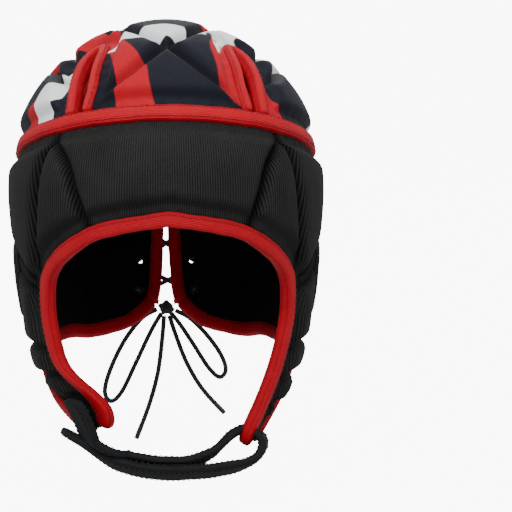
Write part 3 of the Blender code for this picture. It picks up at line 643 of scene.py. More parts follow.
@dataclass(frozen=True)
class FoamCloth:
    """Charcoal jersey over moulded foam: fine upright ribs, darker in the valleys by painted shade."""

    rib: float = 1.30 * MM
    row: float = 0.85 * MM
    # tones of the cloth: random cloudiness and specks, plus painted shade on the ribs and in the valleys
    dark: Triple = (0.0022, 0.0023, 0.0022)
    light: Triple = (0.0270, 0.0280, 0.0270)

    def make(self) -> Material:
        """The material: upright ribs that wander a little, crossed by rows of stitches."""
        shader = Shader("foam_jersey", Sheen_Weight=0.01, Sheen_Roughness=0.45, Specular_IOR_Level=0.06,
                        Sheen_Tint=(0.75, 0.76, 0.74, 1.0))
        u, v, _ = shader.attribute("cloth")
        lining, valley, _ = shader.attribute("zones")
        ribs = u.wave(self.rib, shader.noise(60.0, 2.0) * 1.4)
        height = 0.5 + 0.34 * ribs + 0.16 * v.wave(self.row, ribs * 0.9)
        cloudy = shader.noise(38.0, 4.0)
        speck = shader.noise(1900.0, 2.0)
        # painted shade: lighter on the ribs' crests, darker in the valleys between pads; cloudy and speck are
        # random tone
        tone = (height * 0.55 + cloudy * 0.35 + speck * 0.35 - valley * 0.35).between(0.25, 0.95)
        colour = shader.mix(tone, self.dark, self.light)
        colour = shader.mix(lining, colour, LINING_COLOUR)
        roughness = 0.70 + cloudy * 0.12 - height * 0.05 + lining * 0.12
        return shader.finish(colour, roughness, height + speck * 0.5, 0.16 * MM)


@dataclass(frozen=True)
class PrintedJersey:
    """Navy jersey with a generic print: broken zigzag bands of red and white with soft thread edges."""

    base: Triple = (0.0080, 0.0090, 0.0160)
    # darker navy: random cloudy tone, plus painted shade in the valleys between pads
    shade: Triple = (0.0045, 0.0050, 0.0085)
    red: Triple = (0.4200, 0.0060, 0.0140)
    white: Triple = (0.8200, 0.8450, 0.8500)
    # colour of fine dust specks, and of the painted shade that darkens the print in the valleys
    dust_and_valley_shade: Triple = (0.0120, 0.0130, 0.0180)
    knit: float = 0.80 * MM

    def band(self, shader: Shader, aim: Sequence[float], wave: Sequence[float], pitch: float, bend: float,
             fill: float, gate: Sock) -> Sock:
        """A mask of zigzag bands.

        Args:
            shader: The material being made.
            aim: Direction across the bands.
            wave: Direction along them.
            pitch: Distance between bands, in metres.
            bend: How far a zigzag swings, in metres.
            fill: Share of the pitch that a band fills.
            gate: Field that breaks the bands up, about 0 to 1.

        Returns:
            1 on the bands, 0 beside them: a saw of the distance plus a triangle wave, cut at fill.
        """
        place = shader.place()
        dots = []
        for direction in (aim, wave):
            node = shader.node("VectorMath", {"operation": "DOT_PRODUCT"}, Vector=place)
            node.inputs[1].default_value = Vector(direction).normalized()
            dots.append(shader.out(node, "Value"))
        across, along = dots
        swing = along.math("PINGPONG", 1.25 * pitch) * (bend / pitch)
        cell = ((across + swing) / pitch).math("FRACT")
        inner = (cell - 0.5).abs()
        return 1.0 - (inner + gate * 0.55).between(0.5 * fill + 0.27, 0.5 * fill + 0.285)

    def make(self) -> Material:
        """The material."""
        shader = Shader("printed_jersey", Sheen_Weight=0.02, Sheen_Roughness=0.40, Specular_IOR_Level=0.10,
                        Sheen_Tint=(0.80, 0.84, 0.95, 1.0))
        u, v, _ = shader.attribute("cloth")
        lining, valley, _ = shader.attribute("zones")
        height = 0.5 + 0.25 * u.wave(self.knit) + 0.25 * v.wave(self.knit)
        cloudy, speck = shader.noise(30.0, 3.0), shader.noise(1700.0, 2.0)
        near = shader.noise(17.0, 1.0)
        moved = shader.out(shader.node("Mapping", Vector=shader.place(), Location=(0.31, 0.17, 0.05)))
        far = shader.noise(23.0, 1.0, moved)
        red = self.band(shader, (0.8, 0.5, 0.5), (-0.5, 0.8, 0.1), 0.062, 0.034, 0.24, near)
        white = self.band(shader, (0.5, -0.8, 0.6), (0.8, 0.5, 0.3), 0.071, 0.040, 0.17, far)
        # painted shade: the navy darkens in the valleys, on top of its random cloudy tone
        colour = shader.mix((cloudy + valley * 0.8).between(0.35, 1.1), self.base, self.shade)
        colour = shader.mix(red, colour, self.red)
        colour = shader.mix(white, colour, self.white)
        # painted shade darkens the print in the valleys; the fine specks are dust
        colour = shader.mix(valley * 0.30 + speck * 0.06, colour, self.dust_and_valley_shade)
        colour = shader.mix(lining, colour, LINING_COLOUR)
        roughness = 0.58 + cloudy * 0.12 + lining * 0.25
        return shader.finish(colour, roughness, height + speck * 0.5, 0.10 * MM)


@dataclass(frozen=True)
class RibbonTape:
    """Bright red grosgrain-like binding: ribs along it, a fine cross weave and a sewn line darkened by
    painted shade.
    """

    red: Triple = (0.480, 0.0050, 0.0150)
    # the red, and the darker red of the painted shade and of the random patches
    deep: Triple = (0.220, 0.0020, 0.0060)
    rib: float = 0.95 * MM
    weft: float = 0.55 * MM

    def make(self) -> Material:
        """The material."""
        shader = Shader("binding_ribbon", Sheen_Weight=0.0, Sheen_Roughness=0.35, Specular_IOR_Level=0.12,
                        Sheen_Tint=(1.0, 0.55, 0.55, 1.0))
        along, across, _ = shader.attribute("cloth")
        sewn, border, _ = shader.attribute("zones")
        ribs, weft = across.wave(self.rib) * 0.5 + 0.5, along.wave(self.weft) * 0.5 + 0.5
        patchy, speck = shader.noise(55.0, 3.0), shader.noise(2100.0, 2.0)
        # painted shade: darker between the ribs, in the pressed sewn line and at the tape's rolled edges;
        # patchy and speck are random tone
        shade = (1.0 - ribs) * 0.30 + sewn * 0.55 + border * 0.35 + (patchy - 0.5) * 0.35 + speck * 0.12
        colour = shader.mix(shade.between(0.0, 1.15), self.red, self.deep)
        roughness = 0.52 + patchy * 0.16 - ribs * 0.06
        return shader.finish(colour, roughness, ribs + weft * 0.25 + speck * 0.2 - sewn * 0.7, 0.20 * MM)


@dataclass(frozen=True)
class SewingThread:
    """Twisted polyester thread of the stitch rows."""

    name: str = "red_thread"
    # lit and shaded tones of the thread: painted shade along the twist
    light: Triple = (0.360, 0.010, 0.014)
    dark: Triple = (0.150, 0.004, 0.006)
    twist: float = 0.5 * MM

    def make(self) -> Material:
        """The material."""
        shader = Shader(self.name, Specular_IOR_Level=0.4)
        along, around, _ = shader.attribute("cloth")
        twist = along.wave(self.twist, around * 6.0) * 0.5 + 0.5
        # painted shade: lighter on the twist's crests, darker in its grooves; the noise is random tone
        tone = twist * 0.7 + shader.noise(900.0, 2.0) * 0.3
        return shader.finish(shader.mix(tone, self.dark, self.light), 0.45 + tone * 0.15, twist, 0.06 * MM)


@dataclass(frozen=True)
class HookLoopWebbing:
    """Black hook-and-loop strap: brushed loop pile between two smooth woven borders."""

    pile: Triple = (0.0030, 0.0032, 0.0038)
    tips: Triple = (0.0130, 0.0138, 0.0160)
    warp: float = 1.1 * MM
    weft: float = 1.0 * MM

    def make(self) -> Material:
        """The material."""
        shader = Shader("strap_webbing", Sheen_Weight=0.02, Sheen_Roughness=0.5, Specular_IOR_Level=0.14,
                        Sheen_Tint=(0.75, 0.78, 0.85, 1.0))
        along, across, _ = shader.attribute("cloth")
        border, sewn, _ = shader.attribute("zones")
        tufts = shader.noise(1250.0, 4.0)
        lay = shader.noise(110.0, 3.0)
        weave = along.wave(self.warp) * across.wave(self.weft)
        pile = tufts * 0.75 + lay * 0.55
        height = pile * (1.0 - border) + (0.5 + 0.4 * weave) * border - sewn * 0.7
        # painted shade darkens the pressed stitch furrows; the pile's tone differs at random
        tone = (pile * 0.8 + border * 0.25 - sewn * 0.3).between(0.35, 1.15)
        colour = shader.mix(tone, self.pile, self.tips)
        return shader.finish(colour, 0.78 + lay * 0.14 - border * 0.12, height, 0.32 * MM)


@dataclass(frozen=True)
class BraidedCord:
    """Round black lace: two crossing sets of braided strands."""

    # shaded and lit blacks of the braid: painted shade on its strands
    dark: Triple = (0.0050, 0.0050, 0.0054)
    light: Triple = (0.0280, 0.0280, 0.0290)
    pitch: float = 2.3 * MM

    def make(self) -> Material:
        """The material."""
        shader = Shader("braided_lace", Sheen_Weight=0.10, Specular_IOR_Level=0.35)
        along, turn, _ = shader.attribute("cloth")
        one, two = (along.wave(self.pitch, turn * slant).abs() for slant in (3.0, -3.0))
        height = one.most(two)
        fuzz = shader.noise(1500.0, 2.0)
        # painted shade: lighter on the strands' crests, darker between them; fuzz is random tone
        colour = shader.mix((height * 0.8 + fuzz * 0.4).between(0.4, 1.2), self.dark, self.light)
        return shader.finish(colour, 0.55 + fuzz * 0.2, height + fuzz * 0.3, 0.30 * MM)


@dataclass(frozen=True)
class TipPlastic:
    """Heat-shrunk black tip of a lace."""

    dark: Triple = (0.006, 0.006, 0.006)
    light: Triple = (0.022, 0.022, 0.022)

    def make(self) -> Material:
        """The material."""
        shader = Shader("lace_tip", Specular_IOR_Level=0.5)
        scuffs = shader.noise(420.0, 4.0)
        colour = shader.mix(scuffs, self.dark, self.light)
        return shader.finish(colour, 0.28 + scuffs * 0.22, scuffs, 0.05 * MM)


@dataclass(frozen=True)
class StudioPaper:
    """Paper of the floor and backdrop: it looks white to the camera and lights the cap only faintly."""

    dark: Triple = (0.10, 0.10, 0.10)
    light: Triple = (0.13, 0.13, 0.13)
    seen: Triple = (1.0, 1.0, 1.0)
    unseen: Triple = (0.055, 0.055, 0.055)

    def make(self) -> Material:
        """The material."""
        shader = Shader("studio_paper", Specular_IOR_Level=0.1, Emission_Strength=9.0)
        camera = shader.out(shader.node("LightPath"), "Is Camera Ray")
        glow = shader.mix(camera, self.unseen, self.seen)
        feed(shader.body.inputs["Emission Color"], glow)
        grain = shader.noise(9.0, 2.0)
        colour = shader.mix(grain, self.dark, self.light)
        return shader.finish(colour, 0.85 + grain * 0.05, grain, 0.02 * MM)


def new_piece(name: str, points: Array, faces: Sequence[Array], material: Material,
              cloth: Array | None = None, zones: Array | None = None, drawn: bool = True) -> Object:
    """Makes a smooth mesh object from arrays.

    Args:
        name: Name of the piece.
        points: Its vertices.
        faces: Arrays of faces, each of one number of corners.
        material: Its finish.
        cloth: Surface coordinates in metres, or metres and a turn, one row a vertex; 0 where a row
            is missing at the end.
        zones: Masks read by the finish, in the same way.
        drawn: Whether it moves with the right tab where the strap draws that.

    Returns:
        The object, linked to the scene, with its place in its mesh.
    """
    mesh = bpy.data.meshes.new(name)
    points = HEAD.drawn(points) if drawn else points
    sizes = np.concatenate([np.full(len(block), block.shape[1]) for block in faces])
    loops = np.concatenate([block.ravel() for block in faces]).astype(np.int32)
    mesh.vertices.add(len(points))
    mesh.vertices.foreach_set("co", points.astype(np.float32).ravel())
    mesh.loops.add(len(loops))
    mesh.loops.foreach_set("vertex_index", loops)
    mesh.polygons.add(len(sizes))
    starts = np.concatenate([[0], np.cumsum(sizes)[:-1]]).astype(np.int32)
    mesh.polygons.foreach_set("loop_start", starts)
    mesh.polygons.foreach_set("use_smooth", np.ones(len(sizes), bool))
    for key, rows in (("cloth", cloth), ("zones", zones)):
        if rows is not None:
            full = np.zeros((len(points), 3), np.float32)
            full[: len(rows), : rows.shape[1]] = rows
            mesh.attributes.new(key, "FLOAT_VECTOR", "POINT").data.foreach_set("vector", full.ravel())
    mesh.update(calc_edges=True)
    mesh.validate()
    mesh.materials.append(material)
    item = bpy.data.objects.new(name, mesh)
    bpy.context.scene.collection.objects.link(item)
    return item


def settle(item: Object, slot: Slot, *nodes: str) -> Object:
    """Puts a piece on the cap's body, hides the imported parts that it stands for, and logs its face count.
    """
    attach(item, next(iter(frame["bodies"])))
    if nodes:
        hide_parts(*nodes)
    LOG.info("%s: %d faces", item.name, len(item.data.polygons))
    return item


def walled(outer: Array, inner: Array, quads: Array) -> tuple[Array, list[Array], Array]:
    """Closes a sheet of quads into a wall.

    Args:
        outer: Places of the grid's points on the outside.
        inner: Places of the same points on the inside.
        quads: Quads of the outside, facing out.

    Returns:
        The points, the faces and, for each point, its number in the grid, inner ones after outer.
    """
    used, compact = np.unique(quads, return_inverse=True)
    quads = compact.reshape(quads.shape)
    count = len(used)
    start = quads.ravel()
    end = np.roll(quads, -1, axis=1).ravel()
    rim = ~np.isin(start * count + end, end * count + start)
    a, b = start[rim], end[rim]
    sides = np.stack([b, a, a + count, b + count], axis=1)
    points = np.concatenate([outer[used], inner[used]])
    return points, [quads, quads[:, ::-1] + count, sides], used


@dataclass(frozen=True)
class Padding:
    """Heights of moulded foam above the lining, and how its cloth gathers at the seams."""

    pad: float = 10.0 * MM
    crowning: float = 1.1 * MM
    groove: float = 4.0 * MM
    edge: float = 5.4 * MM
    shoulder: float = 5.4 * MM
    slit_shoulder: float = 2.4 * MM
    strip: float = 4.2 * MM
    softness: float = 0.9 * MM
    gather: float = 0.35 * MM
    gather_length: float = 8.5 * MM
    hidden: float = 1.8 * MM
    crowning_reach: float = 11.0 * MM
    slit_half: float = 0.5 * MM
    gather_reach: float = 4.5 * MM
    tuck: float = 1.6 * MM
    lining_rise: float = 0.9 * MM
    lining_reach: float = 2.6 * MM
    steepness: float = 2.3

    def rise(self, gap: Array, width: float) -> Array:
        """Share of the full height at a distance from a valley: 1 - (1 - t) to a power.

        Args:
            gap: Distance from the valley's bottom.
            width: How wide the shoulder is.

        Returns:
            0 in the valley to 1 on the pad; the bottom is rounded by the softness.
        """
        soft = np.sqrt(gap * gap + self.softness ** 2) - self.softness
        return 1 - (1 - np.clip(soft / width, 0, 1)) ** self.steepness

    def heights(self, places: Array, grooves: list[Array], slits: list[Array], border: Array,
                run: Array) -> tuple[Array, Array, Array]:
        """Outer height, lining height and valley mask.

        Args:
            places: Points of the lining.
            grooves: Lines of the valleys between pads.
            slits: Lines of the narrow moulded slits.
            border: Distance inward from the nearest tape's border, negative under the tape.
            run: How far along its edge each point is, which sets where the cloth gathers.

        Returns:
            Three arrays of the same shape.
        """
        gap, _ = distance_to(places, grooves)
        near = np.minimum(gap, border.clip(0))
        full = self.pad + self.crowning * (1 - np.exp(-near / self.crowning_reach))
        rise = self.rise(gap, self.shoulder)
        if slits:
            narrow, _ = distance_to(places, slits)
            narrow = np.maximum(narrow - self.slit_half, 0)
            rise = np.minimum(rise, self.rise(narrow, self.slit_shoulder))
        outer = self.groove + (full - self.groove) * rise
        rolled = self.edge + (full - self.edge) * self.rise((border - self.strip).clip(0), self.shoulder)
        waves = np.sin(run * 2 * math.pi / self.gather_length + 2.2 * ripple(places, 0.05, 3))
        fade = np.exp(-border.clip(0) / self.gather_reach) * ease(border / (1 * MM))
        under = ease(-border / self.tuck)
        outer = np.minimum(outer, rolled) + self.gather * waves * fade - self.hidden * under
        inner = self.lining_rise * (np.exp(-(gap / self.lining_reach) ** 2) + under)
        return outer, inner, 1 - rise


def corners(grid: Array) -> tuple[Array, Array, Array, Array]:
    """A grid's values at the four corners of each of its quads."""
    return grid[:-1, :-1], grid[1:, :-1], grid[1:, 1:], grid[:-1, 1:]


def doubled(half: Array, odd: bool = False) -> Array:
    """A left half as a full grid: its mirror image, then itself, sharing the middle column."""
    return np.concatenate([-half[:, :0:-1] if odd else half[:, :0:-1], half], axis=1)


@dataclass
class PaddedWall:
    """What crown and band share: a grid of the left half, doubled, cut to its outline and closed."""

    finish: Material
    name: str
    node: str
    slot: Slot
    pitch: float
    padding: Padding = Padding()
    unevenness: float = 0.28 * MM
    edge_step: float = 3.0 * MM
    # how far the wall's border stays from the middle of the seam, and from a free edge in tape widths
    seam_gap: float = 1.2 * MM
    tucked: float = 0.42

    def build(self, bearing: Array, level: Array, heights: Sequence[Array], keep: Array,
              downward: bool) -> None:
        """Makes the wall.

        Args:
            bearing: Bearings of the left half's grid.
            level: Its levels.
            heights: Outer height, lining height and valley mask on it.
            keep: Which of its quads belong to the wall.
            downward: Whether the grid's rows follow each other down the head.
        """
        bearing, level, keep = doubled(bearing, True), doubled(level), np.hstack([keep[:, ::-1], keep])
        high, low, valley = (doubled(field) for field in heights)
        base, normal = HEAD.points(bearing, level), HEAD.normals(bearing, level)
        uneven = self.unevenness * (ripple(base, 0.045, 5) + 0.6 * ripple(base, 0.017, 8)) * (1 - valley)
        outer = base + normal * (high + uneven)[..., None]
        inner = base + normal * (low + 0.5 * uneven)[..., None]
        order = corners(np.arange(bearing.size).reshape(bearing.shape))
        quads = np.stack(order if downward else order[::-1], axis=-1)[keep]
        points, faces, used = walled(outer.reshape(-1, 3), inner.reshape(-1, 3), quads)
        cloth = np.stack(self.cloth(bearing, level), axis=-1).reshape(-1, 2)[used]
        # marks: the valleys between pads, which the foam and jersey finishes darken with painted shade
        marks = valley.ravel()[used]
        zones = np.concatenate([np.stack([np.full_like(marks, side), marks], axis=1) for side in (0, 1)])
        item = new_piece(self.name, points, faces, self.finish, np.concatenate([cloth, cloth]), zones)
        settle(item, self.slot, self.node)


@dataclass
class Band(PaddedWall):
    """Moulded foam band: forehead, ear panels with slits, flaps and the laced back."""

    name: str = "band_padding"
    node: str = "band"
    slot: Slot = Slot.FOAM
    pitch: float = 1.30 * MM
    levels: tuple[float, float] = (0.60, 1.97)
    hole_rim: float = 1.6 * MM
    hole_dip: float = 2.2 * MM
    hole_lift: float = 0.5 * MM

    def make(self) -> None:
        """Builds the band: a regular grid of bearing and level, cut under the tapes."""
        around = math.pi * 0.5 * (HEAD.half_width + HEAD.front_reach)
        down = (self.levels[1] - self.levels[0]) * HEAD.skirt_depth
        bearing, level = (grid.copy() for grid in np.meshgrid(
            np.linspace(0, 180, int(around / self.pitch) + 1),
            np.linspace(*self.levels, int(down / self.pitch) + 1)))
        places = HEAD.points(bearing, level)
        edges = [edge(self.edge_step) for edge in (CUT.face, CUT.neck, CUT.slit)]
        free, free_run = distance_to(places, [on_form(path) for path in edges])
        seam, seam_run = distance_to(places, [on_form(CUT.seam())])
        outline = np.concatenate([*edges, [(180.0, 0.3), (0.0, 0.3)]])
        keep = inside(np.stack([bearing, level], axis=-1), outline)
        keep &= (free > self.tucked * CUT.tape) & (level > CUT.seam_level(bearing)) & (seam > self.seam_gap)
        from_free, from_seam = free - CUT.tape, seam - 0.5 * CUT.seam_tape
        border = np.minimum(from_free, from_seam)
        run = np.where(from_free < from_seam, free_run, seam_run)
        kept = np.logical_and.reduce(corners(keep))
        holes = self.cut_holes(bearing, level, kept)
        high, low, valley = self.padding.heights(
            HEAD.points(bearing, level), CUT.lines(CUT.band_grooves), CUT.lines(CUT.ear_slits), border, run)
        dip = np.exp(-((holes / self.hole_rim).clip(0)) ** 2)
        heights = (high - self.hole_dip * dip, low + self.hole_lift * dip, valley)
        self.build(bearing, level, heights, kept, True)

    def cut_holes(self, bearing: Array, level: Array, kept: Array) -> Array:
        """Cuts the round holes: drops the quads inside each and draws the rim's points onto its circle.

        Args:
            bearing: Bearings of the grid, changed at the rims.
            level: Levels of the grid, changed at the rims.
            kept: Quads kept, changed inside the holes.

        Returns:
            Distance of each point from the nearest hole's rim.
        """
        nearest = np.full(bearing.shape, 1.0)
        for b, v, radius in CUT.holes():
            across, down = HEAD.slopes(np.array(b), np.array(v))
            du, dv = (bearing - b) * np.linalg.norm(across), (level - v) * np.linalg.norm(down)
            gone = np.hypot(0.25 * sum(corners(du)), 0.25 * sum(corners(dv))) < radius
            touched, still = np.zeros((2, *bearing.shape), bool)
            for near_gone, near_still in zip(corners(touched), corners(still)):
                near_gone |= gone
                near_still |= ~gone
            rim = touched & still
            away = np.hypot(du, dv)
            pull = np.where(rim, radius / np.maximum(away, 1e-6), 1.0)
            bearing[...] = b + (bearing - b) * pull
            level[...] = v + (level - v) * pull
            kept &= ~gone
            nearest = np.minimum(nearest, np.where(rim, 0.0, away - radius))
        return nearest

    def cloth(self, bearing: Array, level: Array) -> tuple[Array, Array]:
        """Cloth coordinates round and down the head, in metres."""
        return np.radians(bearing) * 0.5 * (HEAD.half_width + HEAD.front_reach), level * HEAD.skirt_depth


@dataclass
class Crown(PaddedWall):
    """Padded crown: five petals that join over the head and part at four vents and the back slit."""

    name: str = "crown_padding"
    node: str = "crown"
    slot: Slot = Slot.PRINT
    pitch: float = 1.45 * MM
    reach: float = HEAD.dome_height + HEAD.half_width
    vent_step: float = 2.0 * MM

    def make(self) -> None:
        """Builds the crown on a flat grid about the top of the head, so that it has no pole."""
        count = int(self.reach / self.pitch)
        x, y = np.meshgrid(np.arange(count + 1) * self.pitch, np.arange(-count, count + 1) * self.pitch)
        bearing, level = np.degrees(np.arctan2(x, -y)), np.hypot(x, y) / self.reach
        places = HEAD.points(bearing, level)
        seam, run = distance_to(places, [on_form(CUT.seam())])
        slit = CUT.slit(self.edge_step)
        slit = np.concatenate([slit[slit[:, 1] < 1.2], [(180.0, CUT.slit_top)]])
        vents = CUT.vents(self.vent_step)
        keep = (level < CUT.seam_level(bearing)) & (seam > self.seam_gap)
        border = seam - 0.5 * CUT.seam_tape
        for path, width in zip([slit, *vents], (CUT.tape, CUT.vent_tape, CUT.vent_tape)):
            gap, gap_run = distance_to(places, [on_form(path)])
            run = np.where(gap - width < border, gap_run, run)
            border = np.minimum(border, gap - width)
            keep &= gap > self.tucked * width
        for path in vents:
            turn = np.radians(path[:, 0])
            loop = np.stack([np.sin(turn), -np.cos(turn)], axis=1) * (path[:, 1] * self.reach)[:, None]
            keep &= ~inside(np.stack([x, y], axis=-1), loop)
        limit = np.interp(level, slit[::-1, 1], slit[::-1, 0])
        keep &= ~((bearing > limit) & (level > CUT.slit_top))
        heights = self.padding.heights(places, CUT.lines(CUT.crown_grooves), [], border, run)
        self.build(bearing, level, heights, np.logical_and.reduce(corners(keep)), False)

    def cloth(self, bearing: Array, level: Array) -> tuple[Array, Array]:
        """Cloth coordinates to the left and to the back, in metres."""
        turn, reach = np.radians(bearing), level * self.reach * 0.8
        return np.sin(turn) * reach, -np.cos(turn) * reach


def pillow(sides: int, squareness: float) -> tuple[Array, Array]:
    """A closed superellipse of size 1 by 1: signed powers of the cosine and sine."""
    c, s = np.cos(circle(sides)), np.sin(circle(sides))
    return np.sign(c) * np.abs(c) ** (2 / squareness), np.sign(s) * np.abs(s) ** (2 / squareness)


def carried(centres: Array, across: Array, up: Array, x: Array, y: Array) -> tuple[Array, list[Array]]:
    """A closed profile carried along a path, with both ends closed to a middle point.

    Args:
        centres: Points of the path.
        across: Direction of the profile's x at each point.
        up: Direction of its y at each point.
        x: Profile across, one row a point.
        y: Profile up, one row a point.

    Returns:
        The vertices, rings first and then the two end points, and the faces.
    """
    rings = centres[:, None] + across[:, None] * x[..., None] + up[:, None] * y[..., None]
    count, sides = x.shape
    number = np.arange(count * sides).reshape(count, sides)
    start = np.stack([np.full(sides, number.size), np.roll(number[0], -1), number[0]], axis=1)
    end = np.stack([np.full(sides, number.size + 1), number[-1], np.roll(number[-1], -1)], axis=1)
    points = np.concatenate([rings.reshape(-1, 3), rings[0].mean(0)[None], rings[-1].mean(0)[None]])
    middle = count // 2
    outward = np.cross(across[middle], up[middle]) @ np.gradient(centres, axis=0)[middle]
    faces = [ring_quads(count, sides), start, end]
    return points, faces if outward > 0 else [block[:, ::-1] for block in faces]


def rounded_ends(along: Array, start: float, end: float) -> Array:
    """Share of the full size near the ends of a path: a quarter circle over each length."""
    share = np.ones(len(along))
    for gap, length in ((along - along[0], start), (along[-1] - along, end)):
        if length > 0:
            share = np.minimum(share, np.sqrt(np.clip(1 - (1 - np.clip(gap / length, 0, 1)) ** 2, 0, 1)))
    return np.maximum(share, 0.04)


@dataclass(frozen=True)
class Sewing:
    """Short stitches of one kind, many to a piece: each a small rounded bar that arches up."""

    thread: Material
    slot: Slot
    length: float
    thick: float
    drawn: bool = True
    sides: int = 6
    # place along a stitch as a share of its length; size and lift as shares of its thickness
    profile: Rows = ((-0.5, 0.25, -0.5), (-0.32, 0.85, 0.0), (0.0, 1.0, 0.18), (0.32, 0.85, 0.0),
                     (0.5, 0.25, -0.5))

    def rows(self, name: str, lines: Iterable[Sequence[Array]], along: Array, places: Array) -> None:
        """Sews along lines.

        Args:
            name: Name of the piece.
            lines: For each line its points, its directions and the directions away from the cloth.
            along: Length along the path at each point.
            places: Lengths at which the stitches lie.
        """
        read = [[read_at(places, along, field) for field in line] for line in lines]
        centre, aim, out = (np.concatenate(block) for block in zip(*read))
        self.make(name, centre, unit(aim), unit(out))

    def make(self, name: str, centre: Array, aim: Array, out: Array) -> None:
        """Builds the stitches.

        Args:
            name: Name of the piece.
            centre: Middle of each stitch.
            aim: Direction along each.
            out: Direction away from the cloth.
        """
        side = unit(np.cross(aim, out))
        out = np.cross(side, aim)
        run, size, lift = np.array(self.profile).T
        turn, rings = circle(self.sides), len(run)
        local = np.stack([
            np.repeat(run * self.length, self.sides),
            np.outer(size * 0.5 * self.thick, np.cos(turn)).ravel(),
            (np.outer(size * 0.5 * self.thick, np.sin(turn)) + (lift * self.thick)[:, None]).ravel(),
        ], axis=1)
        points = sum(way[:, None] * local[None, :, k, None] for k, way in enumerate((aim, side, out)))
        ring = np.arange(self.sides)
        caps = np.array((ring[::-1], ring + (rings - 1) * self.sides))
        offset = (np.arange(len(centre)) * len(local))[:, None, None]
        faces = [(block[None] + offset).reshape(-1, block.shape[1])
                 for block in (ring_quads(rings, self.sides), caps)]
        if np.cross(side[0], out[0]) @ aim[0] < 0:
            faces = [block[:, ::-1] for block in faces]
        cloth = np.tile(np.stack([local[:, 0], np.tile(turn, rings)], axis=1), (len(centre), 1))
        item = new_piece(name, (centre[:, None] + points).reshape(-1, 3), faces, self.thread, cloth,
                         drawn=self.drawn)
        settle(item, self.slot)


@dataclass
class Binding:
    """One red binding tape with its stitch rows, wrapped over the foam's edge along a trail."""

    name: str
    node: str
    path: Array
    width: float
    top: float
    rows: tuple[float, ...] = (0.62,)
    step: float = 1.6 * MM
    sides: int = 30
    squareness: float = 3.3
    under: float = 0.75 * MM
    stitch: float = 2.3 * MM
    stitch_gap: float = 1.0 * MM
    stitch_bed: float = 0.55 * MM
    stitch_depth: float = 0.10 * MM
    thread: float = 0.50 * MM
    end: float = 2.5 * MM
    # share of the width and length of a wave, for each of two
    uneven: Rows = ((0.03, 31.0 * MM), (0.02, 12.3 * MM))

    def make(self, ribbon: Material, thread: Material) -> None:
        """Builds the tape and its stitches.

        Args:
            ribbon: Finish of the tape.
            thread: Finish of the stitches.
        """
        fine = evenly(np.concatenate([on_form(self.path), self.path], axis=1), self.step)[:, 3:]
        middle = np.full(len(fine), 0.5 * (self.top - self.under))
        centres = HEAD.lifted(fine[:, 0], fine[:, 1], middle)
        along = lengths_along(centres)
        across, up = self.steady(sideways(fine)), self.steady(HEAD.normals(fine[:, 0], fine[:, 1]))
        share = rounded_ends(along, self.end, self.end)[:, None]
        px, py = pillow(self.sides, self.squareness)
        wobble = sum(size * np.sin(along * 2 * math.pi / length) for size, length in self.uneven)
        half_w = 0.5 * self.width * share * (1 + wobble)[:, None]
        half_t = 0.5 * (self.top + self.under) * (0.35 + 0.65 * share)
        sewn = np.max([np.exp(-((px - row) * half_w / self.stitch_bed) ** 2) for row in self.rows], axis=0)
        sewn *= np.abs(py) > 0.5
        bite = 0.5 + 0.5 * np.cos(along * 2 * math.pi / (self.stitch + self.stitch_gap))[:, None]
        x = px * half_w
        y = py * half_t - np.sign(py) * sewn * (0.22 + 0.16 * bite) * MM
        points, faces = carried(centres, across, up, x, y)
        edge = np.hypot(np.diff(px) * self.width, np.diff(py) * (self.top + self.under)) * 0.5
        perimeter = np.concatenate([[0.0], np.cumsum(edge)])
        cloth = np.stack([np.repeat(along, self.sides), np.tile(perimeter, len(along))], axis=1)
        # border marks the tape's rolled edges and sewn its pressed stitch lines; the ribbon's finish darkens
        # both with painted shade
        border = np.broadcast_to((np.abs(px) > 0.93) & (np.abs(py) > 0.3), x.shape)
        zones = np.stack([sewn.ravel(), border.ravel()], axis=1)
        settle(new_piece(self.name, points, faces, ribbon, cloth, zones), Slot.TAPE, self.node)
        flow = unit(np.gradient(centres, axis=0))
        lines = []
        for row in self.rows:
            height = (1 - abs(row) ** self.squareness) ** (1 / self.squareness)
            for face in (1, -1):
                line = centres + across * row * half_w + up * face * (height * half_t - self.stitch_depth)
                lines.append((line, flow, up * face))
        margin = self.end + self.stitch
        places = np.arange(margin, along[-1] - margin, self.stitch + self.stitch_gap)
        sewing = Sewing(thread, Slot.TAPE, self.stitch, self.thread)
        sewing.rows(self.name + "_stitches", lines, along, places)

    def steady(self, vectors: Array) -> Array:
        """Directions averaged with their neighbours, so that a tight turn doesn't twist the tape."""
        for _ in range(2):
            padded = np.concatenate([vectors[:1], vectors, vectors[-1:]])
            vectors = unit(padded[:-2] + 2 * padded[1:-1] + padded[2:])
        return vectors


